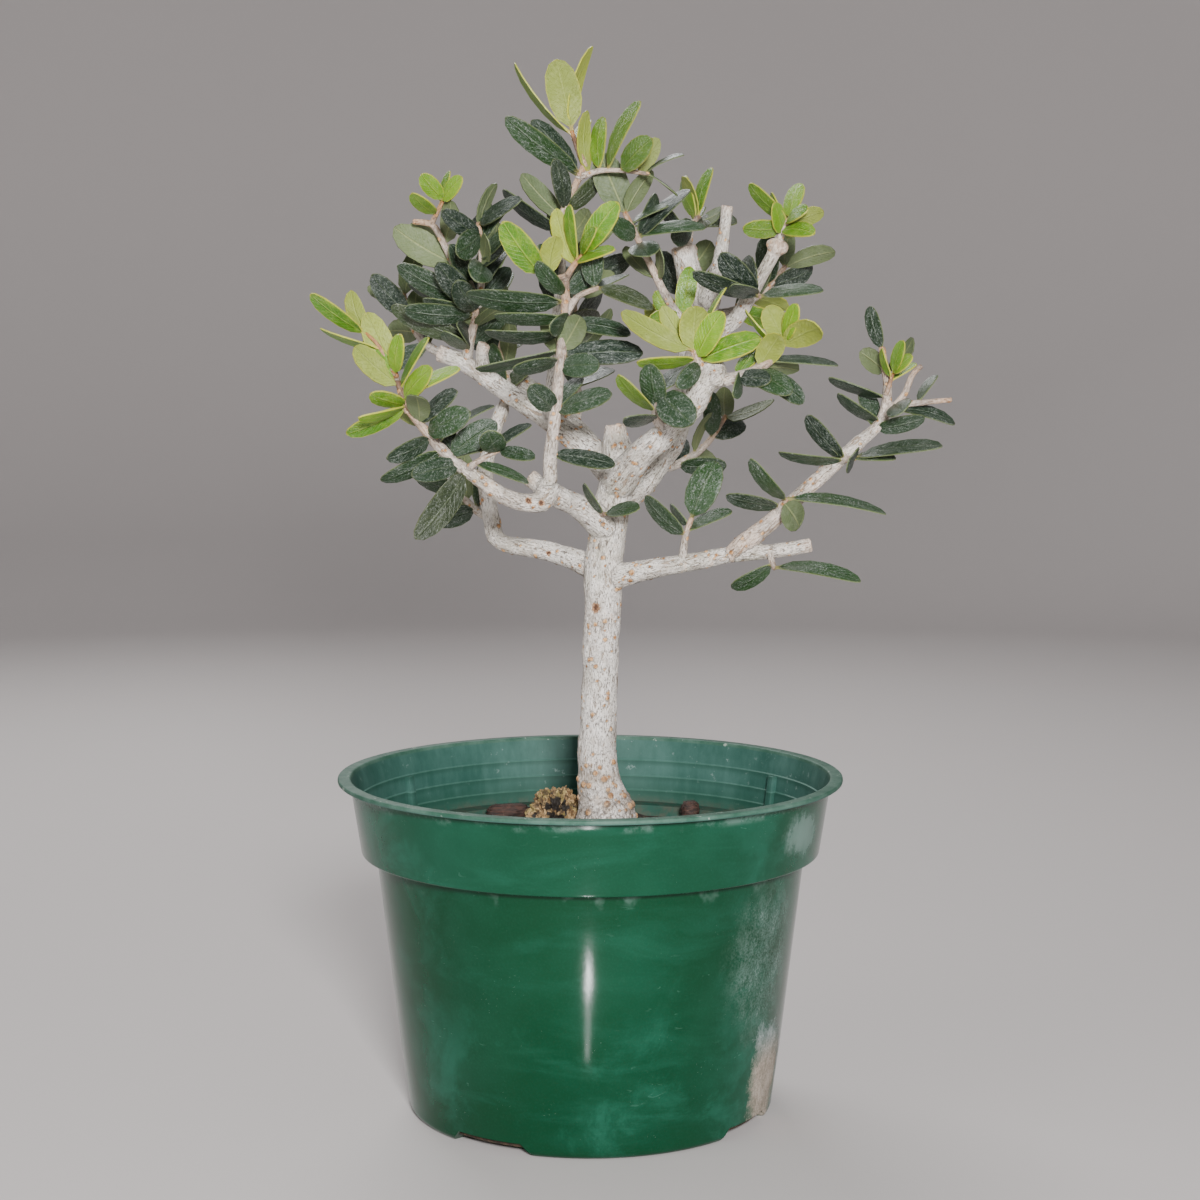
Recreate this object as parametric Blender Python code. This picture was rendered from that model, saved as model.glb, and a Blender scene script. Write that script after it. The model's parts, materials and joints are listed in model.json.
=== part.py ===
# An olive bonsai in a nursery pot: pot, soil, what lies on the soil, the wood and its leafy stems.
# Metres, +Z up. The origin is the middle of the pot's base, on the surface that it stands on.
import math
import random

import bpy
import bmesh
from mathutils import Matrix, Vector
from mathutils.bvhtree import BVHTree

MM = 0.001
SEED = 7
GAP = 0.3                 # mm between pieces that touch
EYE = Vector((3, -730, 236))   # mm, where the tree was drawn from; its plane is the trunk's

POT_HEIGHT = 110.0
LIP_RADIUS = 82.5
LIP_WIDTH = 4.0
LIP_THICKNESS = 1.5
BASE_RADIUS = 60.0
BODY_TOP_RADIUS = 70.2    # the plain wall, just under the band
BAND_HEIGHT = 24.6        # from the top down to the band's lower edge
BAND_RADIUS = 75.0        # the band's lower edge
WALL = 1.4
FLOOR = 2.0
POT_SIDES = 48
NOTCH_COUNT = 4
NOTCH_WIDTH = 27.0        # degrees
NOTCH_HEIGHT = 4.0
NOTCH_FIRST = -122.0      # degrees, the first notch's middle
LUG_ANGLES = (33, 147, 213, 327)
LUG_SIZE = (3.0, 3.0, 15.6)
LUG_RADIUS = 74.35        # the middle of a lug, which stands on the band's inner ledge
LUG_HEIGHT = 94.0
LUG_LEAN = 8.4            # degrees, as the band's inner wall leans out

SOIL_TOP = 84.5
SOIL_SIDES = 32
SOIL_ROUGHNESS = 1.1
LUMP = (-14, 8, 8)        # what lies on the soil: x, y and radius
BARK_CHIP = (-29, 52, 9)
ROUND_CHIP = (35, 54, 4)
RESTING = (LUMP, BARK_CHIP, ROUND_CHIP)
LUMP_SIZE = (8.0, 7.2, 11.6)    # half sizes, before the underside is flattened
BARK_CHIP_SIZE = (8.0, 2.8, 3.3)
ROUND_CHIP_SIZE = (3.4, 3.2, 4.0)
STONE_DETAIL = 2
STONE_FLAT = 0.7          # how far below its middle a stone is cut flat, of its half height
TRUNK_X = 3.0
TRUNK_FOOT = 52.0         # the trunk's lower end, in the soil
TRUNK_RADIUS = 10.2       # where it stands in the soil

LEAF_THICKNESS = 0.95
LEAF_BOW = 0.07           # how far a blade bows, as a share of its length
PETIOLE = 1.3
SEAT_ROOM = 0.15          # how much further than GAP a stem's start is set from its limb
SEAT_STEP = 0.08          # a stem that still touches moves out by this, this many times
SEAT_STEPS = 40
LIMB_SIDES = 6
STEM_SIDES = 5
SHARP_ANGLE = 40          # degrees
# shares along a blade, and its width there as a share of the widest
LEAF_STATIONS = ((0.32, 0.86), (0.60, 1.0), (0.87, 0.68))
HIDDEN_STATIONS = ((0.36, 0.96), (0.80, 0.84))    # for the leaves that fill the tree's inside and back

# A route's rows are x, depth, z in mm as seen from EYE in the trunk's plane; then the radii of its
# two ends. Every limb starts inside the limb that carries it.
LIMBS = {
    "left_low": (((3, 2, 176), (-2, 5, 179), (-14, 12, 183), (-29, 18, 186), (-32, 20, 193),
                  (-34, 22, 209), (-31, 25, 222), (-28, 25, 230)), 3.4, 2.4),
    "right_low": (((6, -1, 174), (19, -6, 177), (36, -9, 180), (47, -11, 182), (60, -12, 183),
                   (72, -13, 185)), 3.4, 2.2),
    "right_low_up": (((46, -11, 182), (58, -11, 192), (68, -11, 201), (80, -10, 212),
                      (88, -9, 219)), 2.8, 2.3),
    "left_front": (((6, -2, 190), (-3, -7, 197), (-9, -12, 200), (-14, -17, 203)), 4.0, 3.3),
    "left_front_stub": (((-13, -17, 202), (-20, -16, 207)), 2.4, 2.2),
    "left_reach": (((-13, -17, 203), (-16, -20, 199), (-23, -24, 199), (-30, -28, 202),
                    (-37, -31, 207)), 2.8, 2.4),
    "right_thick": (((8, -1, 204), (16, -12, 214), (23, -18, 220), (29, -22, 226), (33, -25, 230),
                     (36, -27, 236), (40, -28, 241)), 4.6, 3.7),
    "left_mid": (((7, 1, 210), (2, 6, 214), (-5, 10, 219), (-14, 13, 226), (-23, 15, 232),
                  (-32, 17, 238), (-41, 18, 244), (-49, 19, 247)), 4.3, 2.7),
    "left_pale": (((8, 3, 207), (-3, 18, 220), (-14, 30, 231), (-21, 33, 236), (-30, 36, 243)), 4.0, 3.6),
    "right_back": (((8, 2, 198), (16, 12, 203), (24, 18, 214), (27, 21, 219), (31, 26, 236), (33, 30, 254),
                    (37, 30, 263)), 3.3, 4.8),
    "right_back_arm": (((35, 30, 260), (32, 30, 271), (30, 30, 281)), 4.4, 4.0),
    "right_back_twig": (((36, 29, 261), (41, 20, 274), (43, 16, 286), (44, 15, 294)), 2.6, 1.9),
    "right_upper": (((34, 28, 252), (40, 22, 253), (47, 18, 258), (50, 14, 263), (54, 10, 270),
                     (58, 8, 277), (60, 7, 281)), 2.8, 2.2),
    "crown": (((-13, 12, 225), (-11, 9, 245), (-10, 6, 262)), 2.6, 2.2),
    "stub_hook": (((-34, 17, 240), (-35, 14, 247), (-34, 13, 250)), 1.9, 1.8),
}
# knots and swellings on the wood: x, depth, z, radius
KNOBS = ((40, -28, 240, 4.5), (60, 7, 281, 3.1), (-14, -17, 203, 4.2), (37, 30, 263, 5.2))

# A leaf's row: share of the way along its stem, x and z of its tip as seen from EYE, its length
# (minus where the tip leans away), its width, and its turn: 0 shows its upper face, 180 its lower.
# pairs: first and last share, pairs of leaves between them, their length and width.
SHOOTS = [
    {"name": "leader", "parent": "wood", "twigs": [
        {"route": ((-10, 5, 262), (-9, 5, 286), (-8, 5, 294), (-6, 5, 298), (-4, 4, 302), (-2, 4, 307)),
         "thick": (2.0, 1.3), "pairs": (0.12, 0.66, 3, 17, 7.5),
         "leaves": ((0.60, -22, 304, 19, 8, 145), (0.52, -28, 299, 21, 8.5, 58), (0.94, -27, 322, 31, 8.5, 33),
                    (0.90, -21, 319, 24, 8, -40))},
        {"route": ((-3, 4, 303), (3, 3, 305), (11, 1, 305), (19, -1, 304)), "thick": (1.1, 0.8), "pairs": None,
         "leaves": ((0.30, 4, 322, -18, 7, 45), (0.42, 16, 327, 25, 8, 60), (0.60, 20, 315, 17, 9, 33),
                    (0.85, 22, 315, -14, 7, 145), (0.95, 30, 310, 14, 5, 80), (0.97, 28, 297, 12, 4.5, 90),
                    (0.15, -1, 324, -19, 7, 130))}]},
    {"name": "leader_tip", "parent": "leader", "twigs": [
        {"route": ((-2, 4, 307), (-4, 4, 312), (-6, 3, 318)), "thick": (1.2, 0.9), "pairs": None,
         "leaves": ((0.98, -11, 340, 24, 11, 180), (0.85, -24, 339, 26, 9, 78), (0.97, -1, 345, 28, 9, 115),
                    (0.60, 8, 318, -16, 6, 60))}]},
    {"name": "center_stem", "parent": "wood", "twigs": [
        {"route": ((-13, -18, 205), (-13, -20, 212), (-12, -21, 222), (-11, -22, 232), (-10, -22, 241),
                   (-9, -21, 251), (-8, -20, 260), (-8, -19, 270)),
         "thick": (2.3, 1.7), "pairs": (0.35, 0.93, 3, 17, 7.5),
         "leaves": ((0.90, -40, 266, 27, 9, 40), (0.82, -31, 259, 20, 7, 56), (0.80, -13, 256, 15, 8, 40),
                    (0.74, -34, 254, 21, 8, 58), (0.66, -37, 242, 24, 8, 70), (0.60, -25, 242, 17, 7, 53),
                    (0.33, 7, 234, 20, 8, 43), (0.12, 8, 211, 19, 8, 50), (0.78, 13, 253, 20, 8, 50),
                    (0.62, 17, 247, 21, 9, 30), (0.56, 3, 243, 14, 8, 20))},
        {"route": ((-8, -20, 258), (-4, -20, 265), (3, -20, 268)), "thick": (1.2, 1.0), "pairs": None,
         "leaves": ((0.95, 20, 261, 19, 8, 50), (0.90, 1, 282, 14, 8, 30), (0.80, 12, 272, -16, 7, 70))}]},
    {"name": "center_stem_tip", "parent": "center_stem", "twigs": [
        {"route": ((-8, -19, 270), (-6, -20, 274), (-2, -21, 279)), "thick": (1.3, 0.9), "pairs": None,
         "leaves": ((0.50, -11, 293, 18, 7, 145), (0.70, -8, 294, -17, 6, 60), (0.98, 9, 295, 20, 8.5, 30),
                    (0.90, 2, 287, 12, 5, 50), (0.60, 8, 280, 15, 6, 60))},
        {"route": ((-7, -19, 272), (-11, -20, 271), (-16, -20, 272)), "thick": (1.0, 0.8), "pairs": None,
         "leaves": ((0.95, -28, 289, 23, 9.5, 20), (0.70, -13, 284, 14, 8, 150))}]},
    {"name": "left_reach_stem", "parent": "wood", "twigs": [
        {"route": ((-37, -31, 207), (-44, -33, 212), (-51, -35, 219), (-55, -36, 224), (-59, -37, 229)),
         "thick": (2.2, 1.6), "pairs": (0.2, 0.8, 2, 17, 7.5),
         "leaves": ((0.12, -57, 187, 29, 9.5, 25), (0.62, -66, 213, 17, 7, 35), (0.45, -68, 206, 20, 8, 45),
                    (0.80, -43, 235, 16, 7, 50), (0.68, -40, 231, 19, 8.5, 20), (0.52, -31, 230, 19, 7, 75),
                    (0.35, -32, 227, 18, 8.5, 10), (0.25, -46, 219, -16, 6, 60), (0.30, -28, 218, 15, 6, 60))},
        {"route": ((-40, -33, 210), (-35, -37, 213), (-29, -38, 216)), "thick": (1.2, 0.9), "pairs": None,
         "leaves": ((0.95, -18, 213, 13, 6, 45), (0.90, -33, 222, 14, 8, 10), (0.7, -19, 224, 13, 5, 55),
                    (0.3, -20, 205, 12, 5, 50))}]},
    {"name": "left_reach_tip", "parent": "left_reach_stem", "twigs": [
        {"route": ((-59, -37, 229), (-61, -38, 234), (-63, -39, 241)), "thick": (1.5, 1.0), "pairs": None,
         "leaves": ((0.60, -76, 249, 20, 8, 150), (0.80, -73, 251, -16, 7, 20), (0.97, -72, 260, 18, 9, 165),
                    (0.95, -61, 253, 15, 6, 40), (0.50, -52, 252, 19, 6, 70), (0.30, -42, 242, 20, 7, 60),
                    (0.25, -51, 242, 16, 8, 40), (0.10, -71, 234, 15, 7, 50), (0.08, -76, 229, 19, 6, 70),
                    (0.03, -79, 221, 18, 7, 40))},
        {"route": ((-62, -38, 239), (-68, -38, 249), (-73, -38, 254)), "thick": (0.9, 0.7), "pairs": None,
         "leaves": ((0.95, -90, 266, 21, 7, 50), (0.90, -77, 267, -15, 7, 140), (0.60, -87, 255, 18, 6, 70))}]},
    {"name": "right_knob_stem", "parent": "wood", "twigs": [
        {"route": ((42, -29, 238), (50, -30, 240), (56, -31, 243), (60, -31, 246)), "thick": (2.2, 1.5),
         "pairs": (0.15, 0.6, 2, 16, 7.5),
         "leaves": ((0.40, 65, 234, 18, 8, 30), (0.55, 69, 231, -18, 8, 40), (0.20, 46, 234, 14, 7, 60),
                    (0.85, 80, 243, 19, 7, 68))}]},
    {"name": "right_knob_tip", "parent": "right_knob_stem", "twigs": [
        {"route": ((60, -31, 246), (61, -32, 248), (63, -33, 251)), "thick": (1.2, 0.9), "pairs": None,
         "leaves": ((0.60, 74, 255, 21, 9, 160), (0.95, 68, 261, 15, 6, 40), (0.80, 68, 256, -14, 6, 50),
                    (0.90, 57, 262, 13, 8, 170), (0.40, 50, 261, 16, 6, 75))}]},
    {"name": "right_knob_shoot", "parent": "wood", "twigs": [
        {"route": ((38, -28, 240), (35, -29, 244), (33, -30, 248)), "thick": (1.6, 1.2), "pairs": None,
         "leaves": ((0.95, 10, 260, 27, 8, 150), (0.85, 23, 262, -17, 7, 145), (0.90, 34, 262, 15, 10, 160),
                    (0.55, 15, 244, 19, 7, 60), (0.50, 43, 260, 18, 9, 30), (0.35, 56, 249, 21, 9, 35),
                    (0.75, 45, 268, 22, 6, 75), (0.20, 28, 236, 13, 6, 20))}]},
    {"name": "right_mid_stem", "parent": "wood", "twigs": [
        {"route": ((24, -18, 221), (21, -27, 227), (23, -31, 235)), "thick": (1.6, 1.2), "pairs": None,
         "leaves": ((0.5, 9, 240, 18, 7, 60), (0.6, 24, 244, 16, 9, 30), (0.9, 33, 224, 17, 11, 5),
                    (0.95, 40, 238, -18, 8, 50), (0.3, 11, 226, 17, 7, 60))}]},
    {"name": "left_mid_stem", "parent": "wood", "twigs": [
        {"route": ((-40, 18, 244), (-39, 15, 250), (-38, 13, 254), (-37, 12, 258), (-37, 10, 263)),
         "thick": (2.0, 1.5), "pairs": (0.2, 0.85, 3, 17, 7.5),
         "leaves": ((0.80, -60, 261, 24, 8, 35), (0.88, -54, 262, 18, 7, 55), (0.95, -62, 275, 28, 9, 30),
                    (0.97, -49, 276, 22, 9, 20), (0.30, -64, 262, 27, 8, 35), (0.10, -47, 254, 14, 8, 60),
                    (0.92, -61, 269, -24, 9, 60))}]},
    {"name": "upper_left_stem", "parent": "left_mid_stem", "twigs": [
        {"route": ((-37, 10, 263), (-40, 8, 272), (-44, 8, 276), (-48, 8, 284), (-51, 8, 288), (-57, 7, 289)),
         "thick": (1.6, 1.2), "pairs": (0.15, 0.6, 2, 17, 7.5),
         "leaves": ((0.40, -63, 287, 21, 11, 160), (0.30, -62, 277, 24, 7, 70), (0.35, -35, 291, -17, 7, 60))}]},
    {"name": "upper_left_tip", "parent": "upper_left_stem", "twigs": [
        {"route": ((-51, 8, 288), (-49, 5, 292), (-47, 4, 296)), "thick": (1.0, 0.8), "pairs": None,
         "leaves": ((0.97, -54, 304, 12, 6, 20), (0.90, -41, 303, 12, 6, 40), (0.80, -45, 305, -11, 5, 60),
                    (0.35, -57, 298, 13, 7, 50))}]},
    {"name": "upper_mid_stem", "parent": "left_mid_stem", "twigs": [
        {"route": ((-36, 10, 262), (-35, 5, 270), (-35, 3, 276), (-35, 2, 283), (-36, 1, 289)),
         "thick": (1.4, 1.0), "pairs": (0.15, 0.8, 3, 17, 7.5),
         "leaves": ((0.95, -22, 296, 20, 7, 50), (0.85, -43, 279, 16, 9, 25), (0.70, -25, 296, 17, 6, 60),
                    (0.55, -27, 285, 14, 7, 60), (0.45, -27, 281, 13, 6, 60), (0.50, -38, 272, 15, 9, 20),
                    (0.90, -30, 301, -15, 7, 120))}]},
    {"name": "right_inner_stem", "parent": "wood", "twigs": [
        {"route": ((31, 27, 242), (33, 18, 252), (25, 12, 264), (19, 9, 276), (15, 7, 284), (11, 5, 292)),
         "thick": (1.8, 1.2), "pairs": (0.30, 0.85, 3, 17, 7.5),
         "leaves": ((0.98, 0, 309, 20, 11, 175), (0.80, 19, 278, 15, 10, 20), (0.82, 32, 299, 23, 8, 55),
                    (0.84, 37, 287, 21, 7, 60), (0.92, 25, 294, 14, 5, 70), (0.90, 21, 290, -12, 5, 60),
                    (0.99, 20, 305, 15, 8, 140))}]},
    {"name": "right_crown_stem", "parent": "wood", "twigs": [
        {"route": ((31, 29, 280), (32, 28, 286), (35, 26, 291)), "thick": (1.8, 1.2), "pairs": (0.2, 0.7, 2, 16, 7.5),
         "leaves": ((0.95, 39, 306, 16, 6, 50), (0.90, 30, 303, -16, 8, 60), (0.70, 46, 287, 16, 8, 50),
                    (0.60, 26, 284, 14, 9, 30))}]},
    {"name": "right_upper_stem", "parent": "wood", "twigs": [
        {"route": ((60, 7, 281), (62, 6, 287), (64, 5, 290)), "thick": (1.5, 1.0), "pairs": (0.1, 0.5, 2, 14, 7),
         "leaves": ((0.85, 51, 301, 16, 7, 50), (0.95, 67, 301, -14, 7, 40), (0.30, 72, 285, 15, 7, 45),
                    (0.40, 49, 287, 14, 7, 30), (0.70, 70, 293, 12, 6, 60), (0.60, 58, 298, -13, 6, 60))}]},
    {"name": "right_side_stem", "parent": "wood", "twigs": [
        {"route": ((50, 14, 263), (52, 6, 266), (55, 1, 265)), "thick": (1.4, 1.0), "pairs": None,
         "leaves": ((0.95, 75, 267, 21, 8, 60), (0.60, 46, 269, 18, 8, 45), (0.80, 42, 279, 20, 9, 30),
                    (0.90, 33, 273, 25, 8, 50), (0.70, 58, 277, -15, 8, 40))}]},
    {"name": "right_low_stem", "parent": "wood", "twigs": [
        {"route": ((88, -9, 219), (94, -8, 225), (96, -7, 235), (95, -6, 243), (94, -6, 249)),
         "thick": (2.1, 1.4), "pairs": (0.15, 0.75, 2, 15, 7),
         "leaves": ((0.50, 77, 239, 19, 7, 70), (0.25, 80, 234, 17, 7, 60), (0.97, 90, 262, -14, 6, 40))},
        {"route": ((94, -8, 224), (101, -10, 233), (104, -11, 240), (107, -12, 243)), "thick": (1.4, 1.1),
         "pairs": None, "leaves": ((0.25, 118, 222, 17, 6, 55), (0.35, 101, 228, 12, 9, 5))},
        {"route": ((98, -9, 229), (106, -10, 231), (117, -13, 232)), "thick": (1.3, 1.0), "pairs": None,
         "leaves": ((0.5, 112, 240, -11, 5, 60),)}]},
    {"name": "right_low_tip", "parent": "right_low_stem", "twigs": [
        {"route": ((96, -9, 235), (97, -10, 238), (98, -11, 241)), "thick": (0.9, 0.7), "pairs": None,
         "leaves": ((0.95, 101, 251, 12, 5, 40), (0.90, 104, 246, 10, 5, 50), (0.50, 106, 243, 10, 4, 60),
                    (0.70, 95, 247, -10, 4, 60))}]},
    {"name": "right_low_leaves", "parent": "wood", "twigs": [
        {"route": ((80, -10, 212), (83, -14, 213), (86, -16, 213)), "thick": (1.5, 1.0), "pairs": None,
         "leaves": ((0.30, 70, 227, 15, 8, 50), (0.20, 61, 215, 18, 6, 60), (0.60, 84, 213, 14, 9, 20),
                    (0.80, 99, 213, 14, 6, 60), (0.95, 114, 217, 30, 8, 60), (0.10, 72, 220, -13, 4, 70))}]},
    {"name": "right_fork_leaves", "parent": "wood", "twigs": [
        {"route": ((61, -11, 195), (62, -15, 198), (64, -18, 200)), "thick": (1.5, 1.0), "pairs": None,
         "leaves": ((0.90, 52, 213, 20, 7, 50), (0.30, 44, 201, 14, 7, 50), (0.60, 68, 191, 14, 9, 160),
                    (0.95, 96, 195, 26, 7, 60))}]},
    {"name": "right_end_leaf", "parent": "wood", "twigs": [
        {"route": ((58, -12, 184), (59, -15, 180), (60, -17, 177)), "thick": (1.3, 1.0), "pairs": None,
         "leaves": ((0.90, 88, 173, 30, 7, 55), (0.5, 46, 171, -16, 7, 50))}]},
    {"name": "right_low_twig", "parent": "wood", "twigs": [
        {"route": ((30, -9, 181), (31, -10, 188), (33, -10, 194)), "thick": (1.5, 1.1), "pairs": None,
         "leaves": ((0.95, 41, 212, 20, 11, 20), (0.50, 18, 201, 18, 8, 45), (0.80, 26, 198, -11, 5, 60),
                    (0.6, 46, 196, -15, 7, 60))}]},
    {"name": "front_sprout", "parent": "wood", "twigs": [
        {"route": ((3, -4, 194), (4, -9, 195), (5, -11, 195)), "thick": (1.3, 1.0), "pairs": None,
         "leaves": ((0.95, 16, 197, 14, 6, 50), (0.6, -2, 205, 12, 5, 60))}]},
    {"name": "left_low_stem", "parent": "wood", "twigs": [
        {"route": ((-28, 25, 230), (-27, 27, 237), (-29, 30, 246), (-31, 33, 255)), "thick": (1.9, 1.2),
         "pairs": (0.15, 0.97, 4, 18, 8), "leaves": ()}]},
    {"name": "left_low_side", "parent": "wood", "twigs": [
        {"route": ((-32, 20, 193), (-39, 28, 198), (-45, 34, 206)), "thick": (1.7, 1.1),
         "pairs": (0.25, 0.97, 4, 18, 8), "leaves": ()}]},
    {"name": "left_mid_end", "parent": "wood", "twigs": [
        {"route": ((-47, 19, 246), (-53, 27, 250), (-58, 33, 257), (-60, 37, 266)), "thick": (1.7, 1.1),
         "pairs": (0.2, 0.97, 4, 18, 8), "leaves": ()}]},
    {"name": "back_left_stem", "parent": "wood", "twigs": [
        {"route": ((-30, 36, 243), (-32, 42, 250), (-31, 47, 260), (-33, 50, 271)), "thick": (2.0, 1.2),
         "pairs": (0.15, 0.97, 4, 19, 8.5), "leaves": ()}]},
    {"name": "back_mid_stem", "parent": "wood", "twigs": [
        {"route": ((-5, 22, 222), (-4, 31, 232), (-6, 38, 245), (-5, 42, 259), (-7, 43, 271)),
         "thick": (1.9, 1.2), "pairs": (0.25, 0.97, 4, 19, 8.5), "leaves": ()}]},
    {"name": "back_right_stem", "parent": "wood", "twigs": [
        {"route": ((32, 28, 246), (31, 38, 251), (29, 46, 260), (31, 51, 272)), "thick": (1.9, 1.2),
         "pairs": (0.25, 0.97, 4, 19, 8.5), "leaves": ()}]},
    {"name": "back_side_stem", "parent": "wood", "twigs": [
        {"route": ((38, 30, 259), (47, 36, 261), (56, 39, 267), (63, 38, 275)), "thick": (1.8, 1.1),
         "pairs": (0.25, 0.97, 4, 18, 8), "leaves": ()}]},
    {"name": "back_low_stem", "parent": "wood", "twigs": [
        {"route": ((22, 17, 210), (28, 27, 211), (37, 34, 217), (44, 37, 227)), "thick": (1.8, 1.1),
         "pairs": (0.25, 0.97, 4, 18, 8), "leaves": ()}]},
    {"name": "back_crown_stem", "parent": "wood", "twigs": [
        {"route": ((-10, 8, 252), (-8, 16, 258), (-3, 22, 268), (0, 25, 281)), "thick": (1.7, 1.1),
         "pairs": (0.25, 0.97, 4, 18, 8), "leaves": ()}]},
]
# small turns tried in this order until a leaf lies clear: swing sideways, lean, in degrees
TURNS = ((0, 0), (10, 0), (-10, 0), (0, 10), (0, -10), (12, 12), (-12, 12), (12, -12), (-12, -12),
         (22, 0), (-22, 0), (0, 22), (0, -22), (26, 20), (-26, 20), (26, -20), (-26, -20),
         (40, 0), (-40, 0), (0, 40), (0, -40))

COLORS = {
    "pot": ((0.01, 0.12, 0.05), 0.25), "soil": ((0.035, 0.022, 0.015), 0.95), "lump": ((0.42, 0.31, 0.13), 0.9),
    "chip": ((0.07, 0.025, 0.018), 0.7), "wood": ((0.58, 0.53, 0.46), 0.8), "leaf": ((0.03, 0.09, 0.04), 0.45),
    "new leaf": ((0.24, 0.42, 0.05), 0.4),
}


def spot(x, depth, z):
    """The point at this depth that lies on the line from EYE through x, z in the trunk's plane."""
    drawn = Vector((x, 0, z))
    away = (depth - EYE.y) / (0 - EYE.y)
    return EYE + (drawn - EYE) * away


def clear_scene():
    for thing in list(bpy.data.objects):
        bpy.data.objects.remove(thing, do_unlink=True)


def finish_look(thing, kind):
    color, roughness = COLORS[kind]
    material = bpy.data.materials.new(kind + " of " + thing.name)
    material.use_nodes = True
    shader = material.node_tree.nodes["Principled BSDF"]
    shader.inputs["Base Color"].default_value = (*color, 1)
    shader.inputs["Roughness"].default_value = roughness
    shader.inputs["Metallic"].default_value = 0.0
    thing.data.materials.clear()
    thing.data.materials.append(material)


def to_object(shape, name, kind):
    """A bmesh in mm becomes a named object in metres."""
    bmesh.ops.scale(shape, vec=(MM, MM, MM), verts=shape.verts)
    mesh = bpy.data.meshes.new(name)
    shape.to_mesh(mesh)
    shape.free()
    thing = bpy.data.objects.new(name, mesh)
    bpy.context.collection.objects.link(thing)
    finish_look(thing, kind)
    return thing


def turned(profile, sides):
    """A closed solid turned about +Z from a profile that starts and ends on the axis."""
    shape = bmesh.new()
    previous = None
    for radius, height in profile:
        vert = shape.verts.new((radius, 0, height))
        if previous:
            shape.edges.new((previous, vert))
        previous = vert
    bmesh.ops.spin(shape, geom=shape.verts[:] + shape.edges[:], cent=(0, 0, 0), axis=(0, 0, 1),
                   angle=math.tau, steps=sides, use_merge=True)
    bmesh.ops.remove_doubles(shape, verts=shape.verts, dist=0.001)
    bmesh.ops.recalc_face_normals(shape, faces=shape.faces)
    return shape


def apply_modifiers(thing):
    graph = bpy.context.evaluated_depsgraph_get()
    mesh = bpy.data.meshes.new_from_object(thing.evaluated_get(graph))
    thing.modifiers.clear()
    thing.data = mesh


def combine(thing, others, operation, solver="EXACT"):
    """Join or cut with a collection of objects, apply it, and remove them."""
    group = bpy.data.collections.new(thing.name + " extras")
    for other in others:
        group.objects.link(other)
    step = thing.modifiers.new("combine", "BOOLEAN")
    step.operation = operation
    step.operand_type = "COLLECTION"
    step.collection = group
    step.solver = solver
    apply_modifiers(thing)
    for other in others:
        bpy.data.objects.remove(other, do_unlink=True)
    bpy.data.collections.remove(group)


def body_radius(height):
    """Outside of the pot's plain wall at a height, below the band."""
    return BASE_RADIUS + (BODY_TOP_RADIUS - BASE_RADIUS) * height / (POT_HEIGHT - BAND_HEIGHT)


def pot_outline():
    band_low = POT_HEIGHT - BAND_HEIGHT
    neck = LIP_RADIUS - LIP_WIDTH
    outside = [(0, 0), (BASE_RADIUS - 2.4, 0), (BASE_RADIUS - 0.6, 0.9), (body_radius(3), 3),
               (body_radius(band_low), band_low), (BAND_RADIUS - 0.6, band_low),
               (BAND_RADIUS, band_low + 0.6), (neck, POT_HEIGHT - LIP_THICKNESS - 1),
               (LIP_RADIUS, POT_HEIGHT - LIP_THICKNESS), (LIP_RADIUS, POT_HEIGHT - 0.4),
               (LIP_RADIUS - 0.5, POT_HEIGHT), (neck + 0.4, POT_HEIGHT),
               (neck - 0.4, POT_HEIGHT - 0.8)]
    return outside + inside_outline()


def inside_outline(gap=0.0):
    """The pot's inner side from under the lip down to the middle of the floor."""
    band_low = POT_HEIGHT - BAND_HEIGHT
    wall = LIP_RADIUS - LIP_WIDTH - WALL
    rows = [(wall - 0.4, POT_HEIGHT - 5),
            (BAND_RADIUS - WALL, band_low + WALL), (BODY_TOP_RADIUS - WALL - 0.4, band_low + WALL - 0.4),
            (body_radius(FLOOR) - WALL, FLOOR), (0, FLOOR)]
    return [(max(0.0, radius - gap), height + (gap if height <= FLOOR else 0)) for radius, height in rows]


def notch_cutter(angle):
    """A wedge with slanted ends that opens the base's edge."""
    half = math.radians(NOTCH_WIDTH / 2)
    slant = 2.5 / BASE_RADIUS
    shape = bmesh.new()
    inner, outer = BASE_RADIUS - 7, BASE_RADIUS + 4
    rings = []
    for height, spread in ((-1, half + slant), (NOTCH_HEIGHT, half - slant)):
        row = []
        for step in range(7):
            turn = -spread + 2 * spread * step / 6
            row.append((outer, turn, height))
        for step in range(7):
            turn = spread - 2 * spread * step / 6
            row.append((inner, turn, height))
        rings.append([shape.verts.new((r * math.cos(t), r * math.sin(t), z)) for r, t, z in row])
    shape.faces.new(rings[0][::-1])
    shape.faces.new(rings[1])
    bmesh.ops.bridge_loops(shape, edges=[e for e in shape.edges if len(e.link_faces) == 1])
    bmesh.ops.triangulate(shape, faces=[f for f in shape.faces if len(f.verts) > 4])
    bmesh.ops.recalc_face_normals(shape, faces=shape.faces)
    bmesh.ops.rotate(shape, verts=shape.verts, matrix=Matrix.Rotation(math.radians(angle), 3, "Z"))
    return to_object(shape, "notch cutter", "pot")


def lug(angle):
    """An upright rib on the inner wall that keeps stacked pots apart."""
    shape = bmesh.new()
    bmesh.ops.create_cube(shape, size=1)
    bmesh.ops.scale(shape, vec=LUG_SIZE, verts=shape.verts)
    bmesh.ops.rotate(shape, verts=shape.verts, matrix=Matrix.Rotation(math.radians(LUG_LEAN), 3, "Y"))
    bmesh.ops.translate(shape, vec=(LUG_RADIUS, 0, LUG_HEIGHT), verts=shape.verts)
    bmesh.ops.rotate(shape, verts=shape.verts, matrix=Matrix.Rotation(math.radians(angle), 3, "Z"))
    return to_object(shape, "lug", "pot")


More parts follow.
